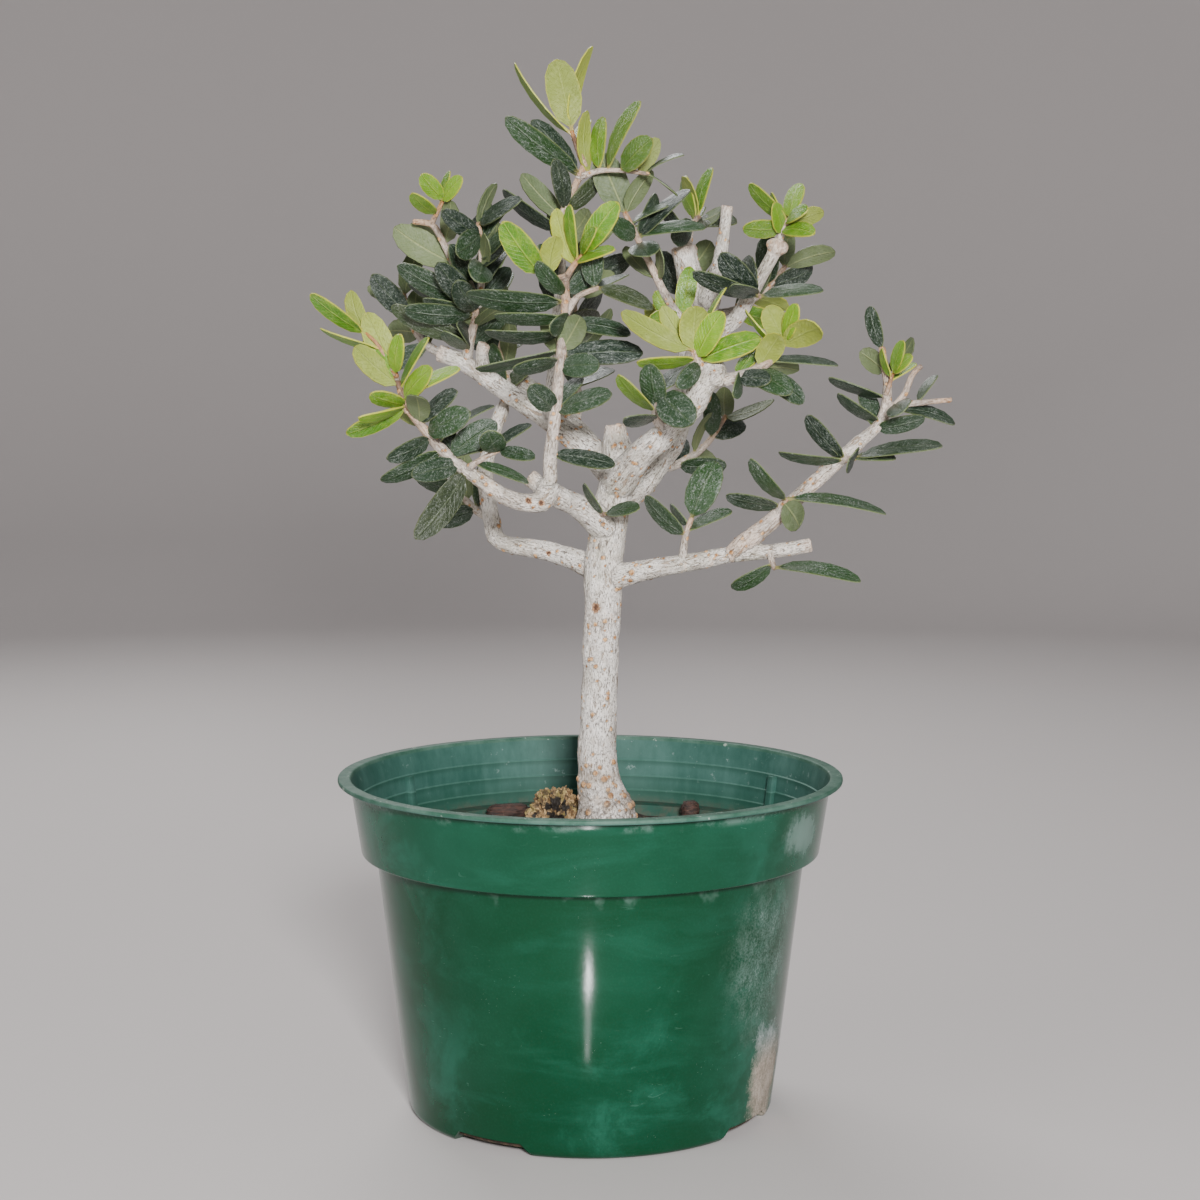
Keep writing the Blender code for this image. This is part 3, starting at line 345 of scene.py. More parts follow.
def potOutline():    # up the outside, over the lip and down the inside
    high, lip, neck = pot["height"], pot["lipRadius"], pot["lipRadius"] - pot["lipWidth"]
    low, wall, band = pot["bandLow"], pot["wall"], pot["bandRadius"]
    baseRound, bandRound, lipRound = pot["baseRound"], pot["bandRound"], pot["lipRound"]
    outside = [(0, 0), (0.05, 0)] + arc((pot["baseRadius"] - baseRound, baseRound), baseRound, -90, 5, 6)
    outside += [(bodyRadius(z), z) for z in (0.02, 0.04, 0.06, 0.08)]
    ledge, skirt = low + pot["skirt"], band - pot["skirtWidth"]
    outside += [(bodyRadius(low), low), (bodyRadius(ledge), ledge), (skirt, ledge), (skirt, low + 0.0002)]
    outside += arc((band - bandRound, low + bandRound), bandRound, -110, 0, 4)
    outside += [(band + 0.0001, low + 0.0012), (neck - 0.0004, high - 0.0042)]
    outside += [(neck - 0.0002, high - 0.0032), (neck + 0.0004, high - pot["lipThick"] - 0.0003)]
    outside += arc((lip - 0.00055, high - pot["lipThick"] + lipRound), lipRound, -90, 0, 3)
    outside += arc((lip - 0.00055, high - lipRound), lipRound, 0, 90, 3) + [(neck + 0.0008, high)]
    outside += arc((neck + 0.0003, high - pot["mouthRound"]), pot["mouthRound"], 90, 180, 4)
    inner = band - wall
    topInner, topLevel = neck - wall - 0.0004, high - 0.005
    inside = [(topInner, topLevel)]
    for step, z in enumerate(pot["stepHeights"]):    # each step is a little narrower than the one above it
        plain = inner + (topInner - inner) * (z - low - wall) / (topLevel - low - wall)
        inside += [(plain + 0.0002 - step * 0.0001, z + 0.0003), (plain - 0.0002 - step * 0.0001, z)]
    inside += [(inner, low + wall + 0.0006), (pot["bodyTop"] - wall - 0.0004, low + wall + 0.0002)]
    return outside + inside + [(bodyRadius(pot["floor"]) - wall, pot["floor"]), (0, pot["floor"])]


def notchMesh(angle):    # a wedge with slanted ends that opens the base's edge
    bm = bmesh.new()
    half = math.radians(pot["notchWidth"] / 2)
    slant = pot["notchSlant"] / pot["baseRadius"]
    for height, spread in ((-0.001, half + slant), (pot["notchHeight"], half - slant)):
        outer = [(pot["baseRadius"] + 0.004, -spread + 2 * spread * k / 10) for k in range(11)]
        inner = [(pot["baseRadius"] - 0.007, spread - 2 * spread * k / 10) for k in range(11)]
        bm.faces.new([bm.verts.new((r * math.cos(t), r * math.sin(t), height)) for r, t in outer + inner])
    bmesh.ops.bridge_loops(bm, edges=bm.edges[:])
    bmesh.ops.triangulate(bm, faces=[f for f in bm.faces if len(f.verts) > 4])
    rotate(bm, angle, "Z")
    bmesh.ops.recalc_face_normals(bm, faces=bm.faces)
    return bm


def lugMesh(angle):    # one of the upright ribs on which a stacked pot rests
    bm = bmesh.new()
    bmesh.ops.create_cube(bm, size=1)
    bmesh.ops.scale(bm, vec=pot["lugSize"], verts=bm.verts)
    bmesh.ops.bevel(bm, geom=bm.edges[:], offset=pot["lugRound"], affect="EDGES", segments=2, profile=0.5,
                    material=-1)
    rotate(bm, pot["lugLean"], "Y")
    bmesh.ops.translate(bm, vec=(pot["lugRadius"], 0, pot["lugHeight"]), verts=bm.verts)
    rotate(bm, angle, "Z")
    return bm


def combined(mesh, shapes, operation):
    thing = inScene("shell", mesh)
    group = bpy.data.collections.new("shapes")
    for bm in shapes:
        group.objects.link(bpy.data.objects.new("shape", meshFrom("shape", bm)))
    step = thing.modifiers.new("combine", "BOOLEAN")
    step.operation = operation
    step.operand_type = "COLLECTION"
    step.collection = group
    step.solver = "EXACT"
    result = evaluated(thing)
    for shape in list(group.objects):
        bpy.data.objects.remove(shape, do_unlink=True)
    bpy.data.collections.remove(group)
    bpy.data.objects.remove(thing, do_unlink=True)
    return result


def makePot(outer, inner):
    shell = meshFrom("pot shell", turnedShell(potOutline(), pot["segments"]))
    shell = combined(shell, [lugMesh(angle) for angle in pot["lugAngles"]], "UNION")
    turns = [pot["notchFirst"] + 360 / pot["notches"] * n for n in range(pot["notches"])]
    shell = combined(shell, [notchMesh(turn) for turn in turns], "DIFFERENCE")
    bm = bmesh.new()
    bm.from_mesh(shell)
    for face in bm.faces:    # the second material is for the lip's top and all that it encloses
        middle = face.calc_center_median()
        onLip = middle.z > pot["height"] - pot["lipThick"] - 0.0004
        deep = math.hypot(middle.x, middle.y) < outerRadius(middle.z) - pot["wall"] * 0.6
        inward = face.normal.xy.dot(middle.xy) < 0 and middle.z > pot["bandLow"] + pot["skirt"] + 0.0006
        within = (deep or inward) and middle.z > pot["floor"] - 1e-5 and face.normal.z > -0.5
        face.material_index = 1 if within or onLip else 0
    bm.to_mesh(shell)
    bm.free()
    finishPiece("pot_shell", shell, [outer, inner], "pot", 35)


# the soil

soil = {
    "top": 0.0845, "foot": 0.0024, "rest": 0.0002, "crumbs": 520, "crumbSize": (0.0005, 0.0018), "seed": 4,
    "swells": ((60, 0.0011), (420, 0.0007)),    # the scale and the height of each
    "darkColor": (0.012, 0.008, 0.005), "paleColor": (0.085, 0.052, 0.030),
}


def soilPaint():
    paint = Paint("potting soil")
    place = paint.place()
    grit = paint.noise(place, 700, 6, 0.75)
    paint.color = paint.mix(grit.between(0.35, 0.72), soil["darkColor"], soil["paleColor"])
    fibre = paint.noise(paint.stretched(place, (1, 4, 2)), 420, 3, 0.6).between(0.62, 0.70)
    paint.lay(fibre * 0.6, (0.20, 0.12, 0.06))
    pale = paint.cells(place, 520).between(0.14, 0.06) * paint.noise(place, 200, 2).between(0.55, 0.62)
    paint.lay(pale * 0.7, (0.34, 0.30, 0.24))
    return paint.finish(0.9 + grit * 0.1, paint.bump(grit, 0.0009, 1.0))


def makeSoil(paint):
    draw = random.Random(soil["seed"])
    rim = pot["bodyTop"] - pot["wall"] - 0.0008
    bottom = bodyRadius(pot["floor"]) - pot["wall"] - 0.0004
    rows = [(0, soil["foot"]), (bottom, soil["foot"]), (rim, soil["top"] - 0.0012)]
    rows += [(rim * (n / 25), soil["top"]) for n in range(24, 0, -2)] + [(0, soil["top"])]
    bm = turnedShell(rows, 72)
    upper = [e for e in bm.edges if min(v.co.z for v in e.verts) > soil["top"] - 0.001]
    bmesh.ops.subdivide_edges(bm, edges=upper, cuts=2, use_grid_fill=True)
    for vert in bm.verts:
        if vert.co.z > soil["top"] - 0.0005:
            rise = sum(noise.noise(vert.co * scale) * height for scale, height in soil["swells"])
            vert.co.z += rise - 0.0004
    for _ in range(soil["crumbs"]):
        turn, far = draw.uniform(0, math.tau), math.sqrt(draw.uniform(0.05, 1)) * (rim - 0.008)
        size = draw.uniform(*soil["crumbSize"])
        middle = Vector((far * math.cos(turn), far * math.sin(turn), soil["top"] - size * 0.2))
        spin = Matrix.Rotation(draw.uniform(0, math.tau), 4, (draw.random(), draw.random(), 0.3))
        squash = Matrix.Diagonal((1, draw.uniform(0.5, 1), draw.uniform(0.35, 0.8), 1))
        made = bmesh.ops.create_icosphere(bm, subdivisions=1, radius=size,
                                          matrix=Matrix.Translation(middle) @ spin @ squash)["verts"]
        for vert in made:
            vert.co += Vector([draw.uniform(-1, 1) for _ in range(3)]) * size * 0.18
    finishPiece("soil_fill", meshFrom("soil_fill", bm), [paint], "soil", 30)


def setDown(bm, middle):    # just above the soil, as the frame has it
    foot = min(v.co.z for v in bm.verts)
    bmesh.ops.translate(bm, vec=(*middle, soil["top"] + soil["rest"] - foot), verts=bm.verts)


# the crusty lump on the soil

lump = {
    "middle": (-0.0118, 0.008), "size": (0.0092, 0.0078, 0.0116), "seed": 3.7, "flat": -0.72,
    "lumpiness": 0.18, "coarseGrain": 0.32, "fineGrain": 0.12, "hollowShadeColor": (0.012, 0.008, 0.005),
    "darkColor": (0.11, 0.058, 0.020), "paleColor": (0.48, 0.32, 0.155),
    # hollows, dented in and painted dark as shade: the way to each from the middle, then its reach
    "hollows": ((0.05, -0.80, 0.62, 0.36), (0.45, -0.75, 0.50, 0.30), (-0.28, -0.85, 0.55, 0.22),
                (-0.15, -1.0, 0.14, 0.36), (0.28, -1.0, 0.10, 0.32), (-0.80, -0.50, 0.25, 0.22)),
}


def lumpPaint():
    paint = Paint("crusty tan lump")
    place = paint.place()
    hollowShade = paint.value("hollowShade")
    grit = paint.noise(place, 520, 6, 0.7)
    paint.color = paint.mix(grit.between(0.38, 0.64), lump["darkColor"], lump["paleColor"])
    moss = paint.noise(place, 190, 3, 0.6).between(0.52, 0.60)
    paint.lay(moss * 0.4, (0.26, 0.23, 0.060))
    shade = paint.noise(place, 330, 5, 0.75).between(0.50, 0.57)
    paint.lay(shade * 0.8, (0.030, 0.018, 0.010))
    pits = paint.cells(place, 420).between(0.36, 0.20)
    # near-black painted shade in the hollows, the gaps between grains and the pits
    dark = hollowShade.between(0.30, 0.62).most(pits * grit.between(0.46, 0.60))
    paint.lay(dark, lump["hollowShadeColor"])
    return paint.finish(0.88 - dark * 0.2, paint.bump(grit - pits * 0.6, 0.0004, 1.0))


def makeLump(paint):
    bm = bmesh.new()
    bmesh.ops.create_icosphere(bm, subdivisions=6, radius=1)
    hollowShade = bm.verts.layers.float.new("hollowShade")
    shift = Vector((lump["seed"], 1.3, 0.4))
    for vert in bm.verts:
        way = vert.co.normalized()
        pit = max(0.0, noise.noise(way * 5.5 + shift * 2) - 0.22) * 0.8
        for x, y, z, reach in lump["hollows"]:
            far = (way - Vector((x, y, z)).normalized()).length + noise.noise(way * 7 + shift) * 0.22
            pit = max(pit, (1 - far / reach) * 0.6)
        bend = Vector((noise.noise(way * 4), noise.noise(way * 4 + shift), noise.noise(way * 5)))
        bent = way + bend * 0.22
        near = noise.voronoi(bent * 4.2 + shift)[0]
        fine = noise.voronoi(bent * 10 + shift)[0]
        grain = (0.16 - near[0] ** 2) * lump["coarseGrain"] + (0.14 - fine[0] ** 2) * lump["fineGrain"]
        gap = max(0.0, 0.09 - (near[1] - near[0])) * 2.5
        # how far into a hollow or a gap, for the painted shade there
        vert[hollowShade] = min(1.0, pit * 2.4 + gap)
        vert.co = way * (0.98 + noise.noise(way * 1.6 + shift) * lump["lumpiness"] + grain - pit * 0.45)
        vert.co.z = max(vert.co.z, lump["flat"])
    bmesh.ops.scale(bm, vec=lump["size"], verts=bm.verts)
    setDown(bm, lump["middle"])
    finishPiece("lump_crust", meshFrom("lump_crust", bm), [paint], "crusty_lump", 60)


# the bark chips on the soil

chips = {
    "bark_chip": {"middle": (-0.029, 0.052), "size": (0.0080, 0.0028, 0.0034), "turn": 8},
    "round_chip": {"middle": (0.035, 0.054), "size": (0.0034, 0.0032, 0.0038), "turn": 30},
}
chipLook = {
    "darkColor": (0.012, 0.006, 0.004), "paleColor": (0.070, 0.030, 0.020), "ledges": 0.16, "dents": 0.06,
}


def chipPaint():
    paint = Paint("dark bark chip")
    place = paint.place()
    layers = paint.noise(paint.stretched(place, (0.3, 1, 1.6)), 900, 4, 0.65)
    paint.color = paint.mix(layers.between(0.35, 0.7), chipLook["darkColor"], chipLook["paleColor"])
    dust = paint.noise(place, 500, 4, 0.7).between(0.6, 0.7)
    paint.lay(dust * 0.35, (0.20, 0.12, 0.08))
    return paint.finish(0.62 + layers * 0.25, paint.bump(layers, 0.0005, 0.9))


def makeChip(name, facts, paint):
    bm = bmesh.new()
    bmesh.ops.create_icosphere(bm, subdivisions=4, radius=1)
    for vert in bm.verts:
        way = vert.co.copy()
        ledge = noise.noise(Vector((way.x * 1.2, way.y * 3, way.z * 7)) + Vector((3, 7, 1)))
        vert.co *= 1 + ledge * chipLook["ledges"] + noise.noise(way * 6) * chipLook["dents"]
        vert.co.z = max(-0.7, min(0.85, vert.co.z))
    bmesh.ops.scale(bm, vec=facts["size"], verts=bm.verts)
    rotate(bm, facts["turn"], "Z")
    setDown(bm, facts["middle"])
    finishPiece(name + "_layers", meshFrom(name + "_layers", bm), [paint], name, 50)


# routes and tubes

def spot(x, depth, z):    # the point at this depth that the eye sees at x, z in the trunk's plane
    drawn = Vector((x, 0, z)) * mm
    return eye + (drawn - eye) * ((depth * mm - eye.y) / -eye.y)


def smoothRoute(points, step):
    ends = [points[0] * 2 - points[1]] + list(points) + [points[-1] * 2 - points[-2]]
    route = []
    for i in range(1, len(ends) - 2):
        a, b, c, d = ends[i - 1:i + 3]
        count = max(1, round((c - b).length / step))
        for k in range(count):
            t = k / count
            route.append(0.5 * (2 * b + (c - a) * t + (2 * a - 5 * b + 4 * c - d) * t * t
                                + (3 * b - a - 3 * c + d) * t ** 3))
    route.append(points[-1].copy())
    return route


def evenRadii(route, first, last):
    return [first + (last - first) * i / (len(route) - 1) for i in range(len(route))]


def atShare(route, share):
    lengths = [(b - a).length for a, b in zip(route, route[1:])]
    left = share * sum(lengths)
    for i, length in enumerate(lengths):
        if left <= length or i == len(lengths) - 1:
            ahead = (route[i + 1] - route[i]).normalized()
            return route[i] + ahead * min(left, length), ahead
        left -= length


def growTube(bm, route, radii, sides):    # a ring is pushed along the route, then both ends are closed
    ahead = (route[1] - route[0]).normalized()
    start = Matrix.Translation(route[0]) @ ahead.to_track_quat("Z", "Y").to_matrix().to_4x4()
    ring = bmesh.ops.create_circle(bm, cap_ends=True, segments=sides, radius=radii[0], matrix=start)["verts"]
    edges = list({e for v in ring for e in v.link_edges})
    before = route[0]
    for i in range(1, len(route)):
        grown = bmesh.ops.extrude_edge_only(bm, edges=edges)["geom"]
        verts = [g for g in grown if isinstance(g, bmesh.types.BMVert)]
        edges = [g for g in grown if isinstance(g, bmesh.types.BMEdge)]
        onward = (route[min(i + 1, len(route) - 1)] - route[i - 1]).normalized()
        turn = ahead.rotation_difference(onward).to_matrix().to_4x4()
        shrink = Matrix.Scale(radii[i] / radii[i - 1], 4)
        moved = Matrix.Translation(route[i]) @ turn @ shrink @ Matrix.Translation(-before)
        bmesh.ops.transform(bm, verts=verts, matrix=moved)
        ahead, before = onward, route[i]
    bmesh.ops.contextual_create(bm, geom=edges)


def remeshed(name, bm, voxel):    # the tubes flow into one skin
    bmesh.ops.recalc_face_normals(bm, faces=bm.faces)
    thing = inScene(name, meshFrom(name, bm))
    step = thing.modifiers.new("skin", "REMESH")
    step.mode = "VOXEL"
    step.voxel_size = voxel
    skin = evaluated(thing)
    bpy.data.objects.remove(thing, do_unlink=True)
    return skin


def treeOfPoints(points):
    tree = KDTree(len(points))
    for i, point in enumerate(points):
        tree.insert(point, i)
    tree.balance()
    return tree


# the wood

bark = {
    "voxel": 0.00057, "twigVoxel": 0.0004, "groove": 0.00011, "grooveScale": 1300, "ridgeScale": 620,
    "unevenness": 0.00026, "unevenScale": 150, "alongGrain": 0.30,
    "poresPerMm": 0.022, "poreSize": (0.00035, 0.00080), "poreRise": 0.00026, "seed": 12,
    "knobs": 14, "knobTop": 0.104, "knobSize": (0.0008, 0.0017), "knobRise": 0.75, "callus": 0.0035,
    "callusRise": 0.00030, "knotRoughness": 0.30, "collar": 0.26, "collarFrom": 0.005, "collarReach": 0.006,
    "darkColor": (0.48, 0.42, 0.36), "paleColor": (0.86, 0.81, 0.76), "fibreColor": (0.96, 0.92, 0.88),
    "youngDark": (0.130, 0.044, 0.009), "youngPale": (0.400, 0.170, 0.038),
    "sawnDark": (0.42, 0.25, 0.16), "sawnPale": (0.84, 0.66, 0.53),
}
# the trunk from its foot up: x, z and radius in mm
trunkRows = ((4, 52, 9.2), (4.5, 81, 10.2), (5, 86.5, 10.8), (5, 92, 10.3), (5, 97, 9.6), (3.9, 102.3, 8.05),
             (3, 106.4, 7.25), (2.5, 111.6, 6.75), (2.2, 118, 6.2), (3, 134, 5.9), (3.5, 153, 5.8),
             (4, 166, 6.0), (4, 175, 6.2), (5, 184, 6.1),
             (6.5, 194, 5.9), (8, 203, 5.6), (9, 212, 5.6), (8.5, 218, 4.6), (8, 224, 3.0))
# the root shoulders at the trunk's foot: plain x, y, z in mm, then the radii of the two ends
rootRoutes = (
    (((6, -1, 99), (8.5, -1, 94), (11, -1, 88), (12, -1, 82)), 4.2, 3.6),
    (((3, 3, 100), (5, 8, 90), (6, 10, 82)), 4.6, 3.6),
)
# the limbs: x, depth and z in mm as the eye sees them, then the radii of the two ends
limbRoutes = {
    "left_low": (((3, 2, 176), (-2, 5, 179), (-14, 12, 183), (-29, 18, 186), (-32, 20, 193),
                  (-34, 22, 209), (-31, 25, 222), (-28, 25, 230)), 3.4, 2.4),
    "right_low": (((6, -1, 174), (19, -6, 177), (36, -9, 180), (47, -11, 182), (60, -12, 183),
                   (72, -13, 185)), 3.4, 2.2),
    "right_low_up": (((46, -11, 182), (58, -11, 192), (68, -11, 201), (80, -10, 212),
                      (88, -9, 219)), 2.8, 2.3),
    "left_front": (((6, -2, 190), (-3, -7, 197), (-9, -12, 200), (-14, -17, 203)), 4.0, 3.3),
    "left_front_stub": (((-13, -17, 202), (-20, -16, 207)), 2.4, 2.2),
    "left_reach": (((-13, -17, 203), (-16, -20, 199), (-23, -24, 199), (-30, -28, 202),
                    (-37, -31, 207)), 2.8, 2.4),
    "right_thick": (((8, -1, 204), (16, -12, 214), (23, -18, 220), (29, -22, 226), (33, -25, 230),
                     (36, -27, 236), (40, -28, 241)), 4.6, 3.7),
    "left_mid": (((7, 1, 210), (2, 6, 214), (-5, 10, 219), (-14, 13, 226), (-23, 15, 232),
                  (-32, 17, 238), (-41, 18, 244), (-49, 19, 247)), 4.3, 2.7),
    "left_pale": (((8, 3, 207), (-3, 18, 220), (-14, 30, 231), (-21, 33, 236), (-30, 36, 243)), 4.0, 3.6),
    "right_back": (((8, 2, 198), (16, 12, 203), (24, 18, 214), (27, 21, 219), (31, 26, 236), (33, 30, 254),
                    (37, 30, 263)), 3.3, 4.8),
    "right_back_arm": (((35, 30, 260), (32, 30, 271), (30, 30, 281)), 4.4, 4.0),
    "right_back_twig": (((36, 29, 261), (41, 20, 274), (43, 16, 286), (44, 15, 294)), 2.6, 1.9),
    "right_upper": (((34, 28, 252), (40, 22, 253), (47, 18, 258), (50, 14, 263), (54, 10, 270),
                     (58, 8, 277), (60, 7, 281)), 2.8, 2.2),
    "crown": (((-13, 12, 225), (-11, 9, 245), (-10, 6, 262)), 2.6, 2.2),
    "stub_hook": (((-34, 17, 240), (-35, 14, 247), (-34, 13, 250)), 1.9, 1.8),
}
sawnLimbs = ("left_front_stub", "right_low", "right_back_arm", "right_back_twig", "right_upper", "stub_hook",
             "left_mid")
# how young the bark is at a limb's two ends
youngLimbs = {"right_low_up": (0.65, 0.35), "left_reach": (0.1, 0.5), "right_upper": (0.1, 0.4)}
# swollen knots: x, depth, z and radius in mm
knots = ((40, -28, 240, 4.5), (60, 7, 281, 3.1), (-14, -17, 203, 4.2), (37, 30, 263, 5.2))
# burrs and scars as the eye sees them: x, z and reach in mm, then the share of its reach that it stands out
barkMarks = (
    (1.5, 164.3, 1.9, -0.35), (-19.9, 199.5, 1.4, -0.3), (-15.7, 198.5, 1.3, -0.3),
    (-13.7, 182.3, 1.1, -0.3),
    (4.2, 180.8, 0.8, 0.4), (4.2, 191.7, 0.8, 0.4), (8.4, 170.6, 1.0, 0.45), (13, 173.5, 0.9, 0.4),
    (13.5, 176, 1.1, 0.4), (-0.6, 158.6, 0.8, 0.4), (1.7, 159, 0.8, 0.4), (4.8, 160, 0.8, 0.4),
    (4.8, 154, 0.8, 0.4), (7.9, 154.8, 0.8, 0.4), (1.8, 145.2, 0.8, 0.4), (0.5, 147.7, 0.7, 0.4),
    (5.6, 134.7, 0.8, 0.4), (0.8, 129.4, 0.8, 0.4), (6.7, 124.5, 0.8, 0.4), (7.2, 113.6, 1.1, 0.5),
    (1.7, 109.9, 1.0, 0.5), (-0.3, 105.8, 1.1, 0.5), (-2.1, 106.2, 1.2, 0.5), (4.5, 108, 1.25, 0.5),
    (10, 108.6, 1.15, 0.5), (6.6, 102.4, 1.2, 0.5), (10.8, 102.4, 1.25, 0.5), (13.5, 99.5, 1.5, 0.5),
    (-3.8, 108, 1.1, 0.5), (5.8, 104.4, 0.8, 0.5), (8.2, 105.6, 0.8, 0.5), (-1.2, 112.5, 0.8, 0.5),
    (3.1, 111.8, 0.8, 0.5),
)


def barkPaint():
    paint = Paint("pale olive bark")
    place = paint.place()
    grain = paint.vector("grain")
    pore, scar = paint.value("pore"), paint.value("scar")
    cut, young = paint.value("cut"), paint.value("young")
    z = paint.parts(place)[2]
    cloud = paint.noise(place, 120, 5, 0.62)
    paint.color = paint.mix(cloud.between(0.33, 0.62), bark["darkColor"], bark["paleColor"])
    lichen = paint.noise(place, 85, 4, 0.6).between(0.50, 0.66)
    paint.lay(lichen * 0.45 + z.between(0.158, 0.176) * 0.22, (0.46, 0.44, 0.35))
    # along the grain: pale fibres, grey ridges, brown splits and dark dashes
    fibre = paint.noise(grain, 1500, 5, 0.66)
    paint.lay(fibre.between(0.46, 0.66) * 0.6, bark["fibreColor"])
    dash = paint.noise(grain, 3300, 3, 0.6).between(0.56, 0.62)
    ridges = paint.noise(grain, 900, 4, 0.7).between(0.40, 0.62)
    paint.lay(ridges * 0.24, (0.50, 0.46, 0.41))
    speckle = paint.noise(place, 2300, 3, 0.6).between(0.55, 0.64)
    paint.lay(speckle * 0.45, (0.34, 0.29, 0.23))
    split = paint.noise(grain, 700, 4, 0.60, 0.6).between(0.395, 0.35)
    paint.lay(split * 0.75, (0.35, 0.25, 0.17))
    crack = paint.noise(grain, 1250, 4, 0.62, 0.5).between(0.40, 0.36)
    dark = (dash * 0.85).most(crack * 0.85) * (1 - young * 0.5)
    dark = dark * paint.noise(place, 160, 3).between(0.28, 0.50)
    paint.lay(dark, (0.12, 0.090, 0.068))
    # tan where it is young, then blushes, pores with a ring of painted shade round them, and scars with torn
    # edges
    tender = paint.mix(cloud.between(0.4, 0.6), bark["youngDark"], bark["youngPale"])
    paint.lay(young * young, tender)
    blush = paint.noise(place, 240, 4, 0.65).between(0.60, 0.72)
    paint.lay(blush * 0.45, (0.60, 0.37, 0.20))
    tan = paint.mix(paint.noise(place, 900, 4).between(0.4, 0.62), (0.36, 0.155, 0.050), (0.72, 0.43, 0.20))
    paint.lay(pore.between(0.15, 0.45) * 0.95, tan)
    # a ring of painted shade round each pore and burr
    paint.lay(pore.between(0.01, 0.10) * pore.between(0.30, 0.14) * 0.7, (0.15, 0.10, 0.065))
    torn = scar + paint.noise(place, 1500, 4, 0.70) * 2.2 - 1.1
    sunk = paint.mix(torn.between(0.45, 0.85), (0.44, 0.25, 0.14), (0.105, 0.052, 0.032))
    paint.lay(torn.between(0.12, 0.40) * scar.between(0.0, 0.1), sunk)
    # browner and dirtier towards the soil, and bare wood on the sawn ends
    browned = z.between(0.122, 0.094) * paint.noise(place, 140, 4, 0.65).between(0.40, 0.64)
    paint.lay(browned * 0.7, (0.38, 0.28, 0.195))
    soiled = z.between(0.112, 0.098) * paint.noise(place, 950, 5, 0.74).between(0.47, 0.58)
    paint.lay(soiled * 0.75, (0.10, 0.080, 0.065))
    smudge = z.between(0.106, 0.100) * paint.noise(place, 260, 4, 0.7).between(0.53, 0.62)
    paint.lay(smudge * 0.7, (0.13, 0.11, 0.10))
    sawn = paint.mix(paint.noise(place, 900, 4).between(0.35, 0.6), bark["sawnDark"], bark["sawnPale"])
    paint.lay(cut * (0.35 + fibre * 0.9).least(1.0), sawn)
    height = fibre * 0.6 - dash * 0.45 - crack * 0.9 - split * 0.8 - ridges * 0.5 + cloud * 0.25
    return paint.finish(0.80 - pore * 0.1, paint.bump(height, 0.00030, 0.9), 0.3)


def seenMarks(surface):    # the listed marks, each where the eye's line meets the bark
    found = []
    for x, z, reach, rise in barkMarks:
        place = surface.ray_cast(eye, (spot(x, 0, z) - eye).normalized())[0]
        if place:
            found.append((place, reach * mm, rise * reach * mm * (1.6 if rise > 0 else 1)))
    return found


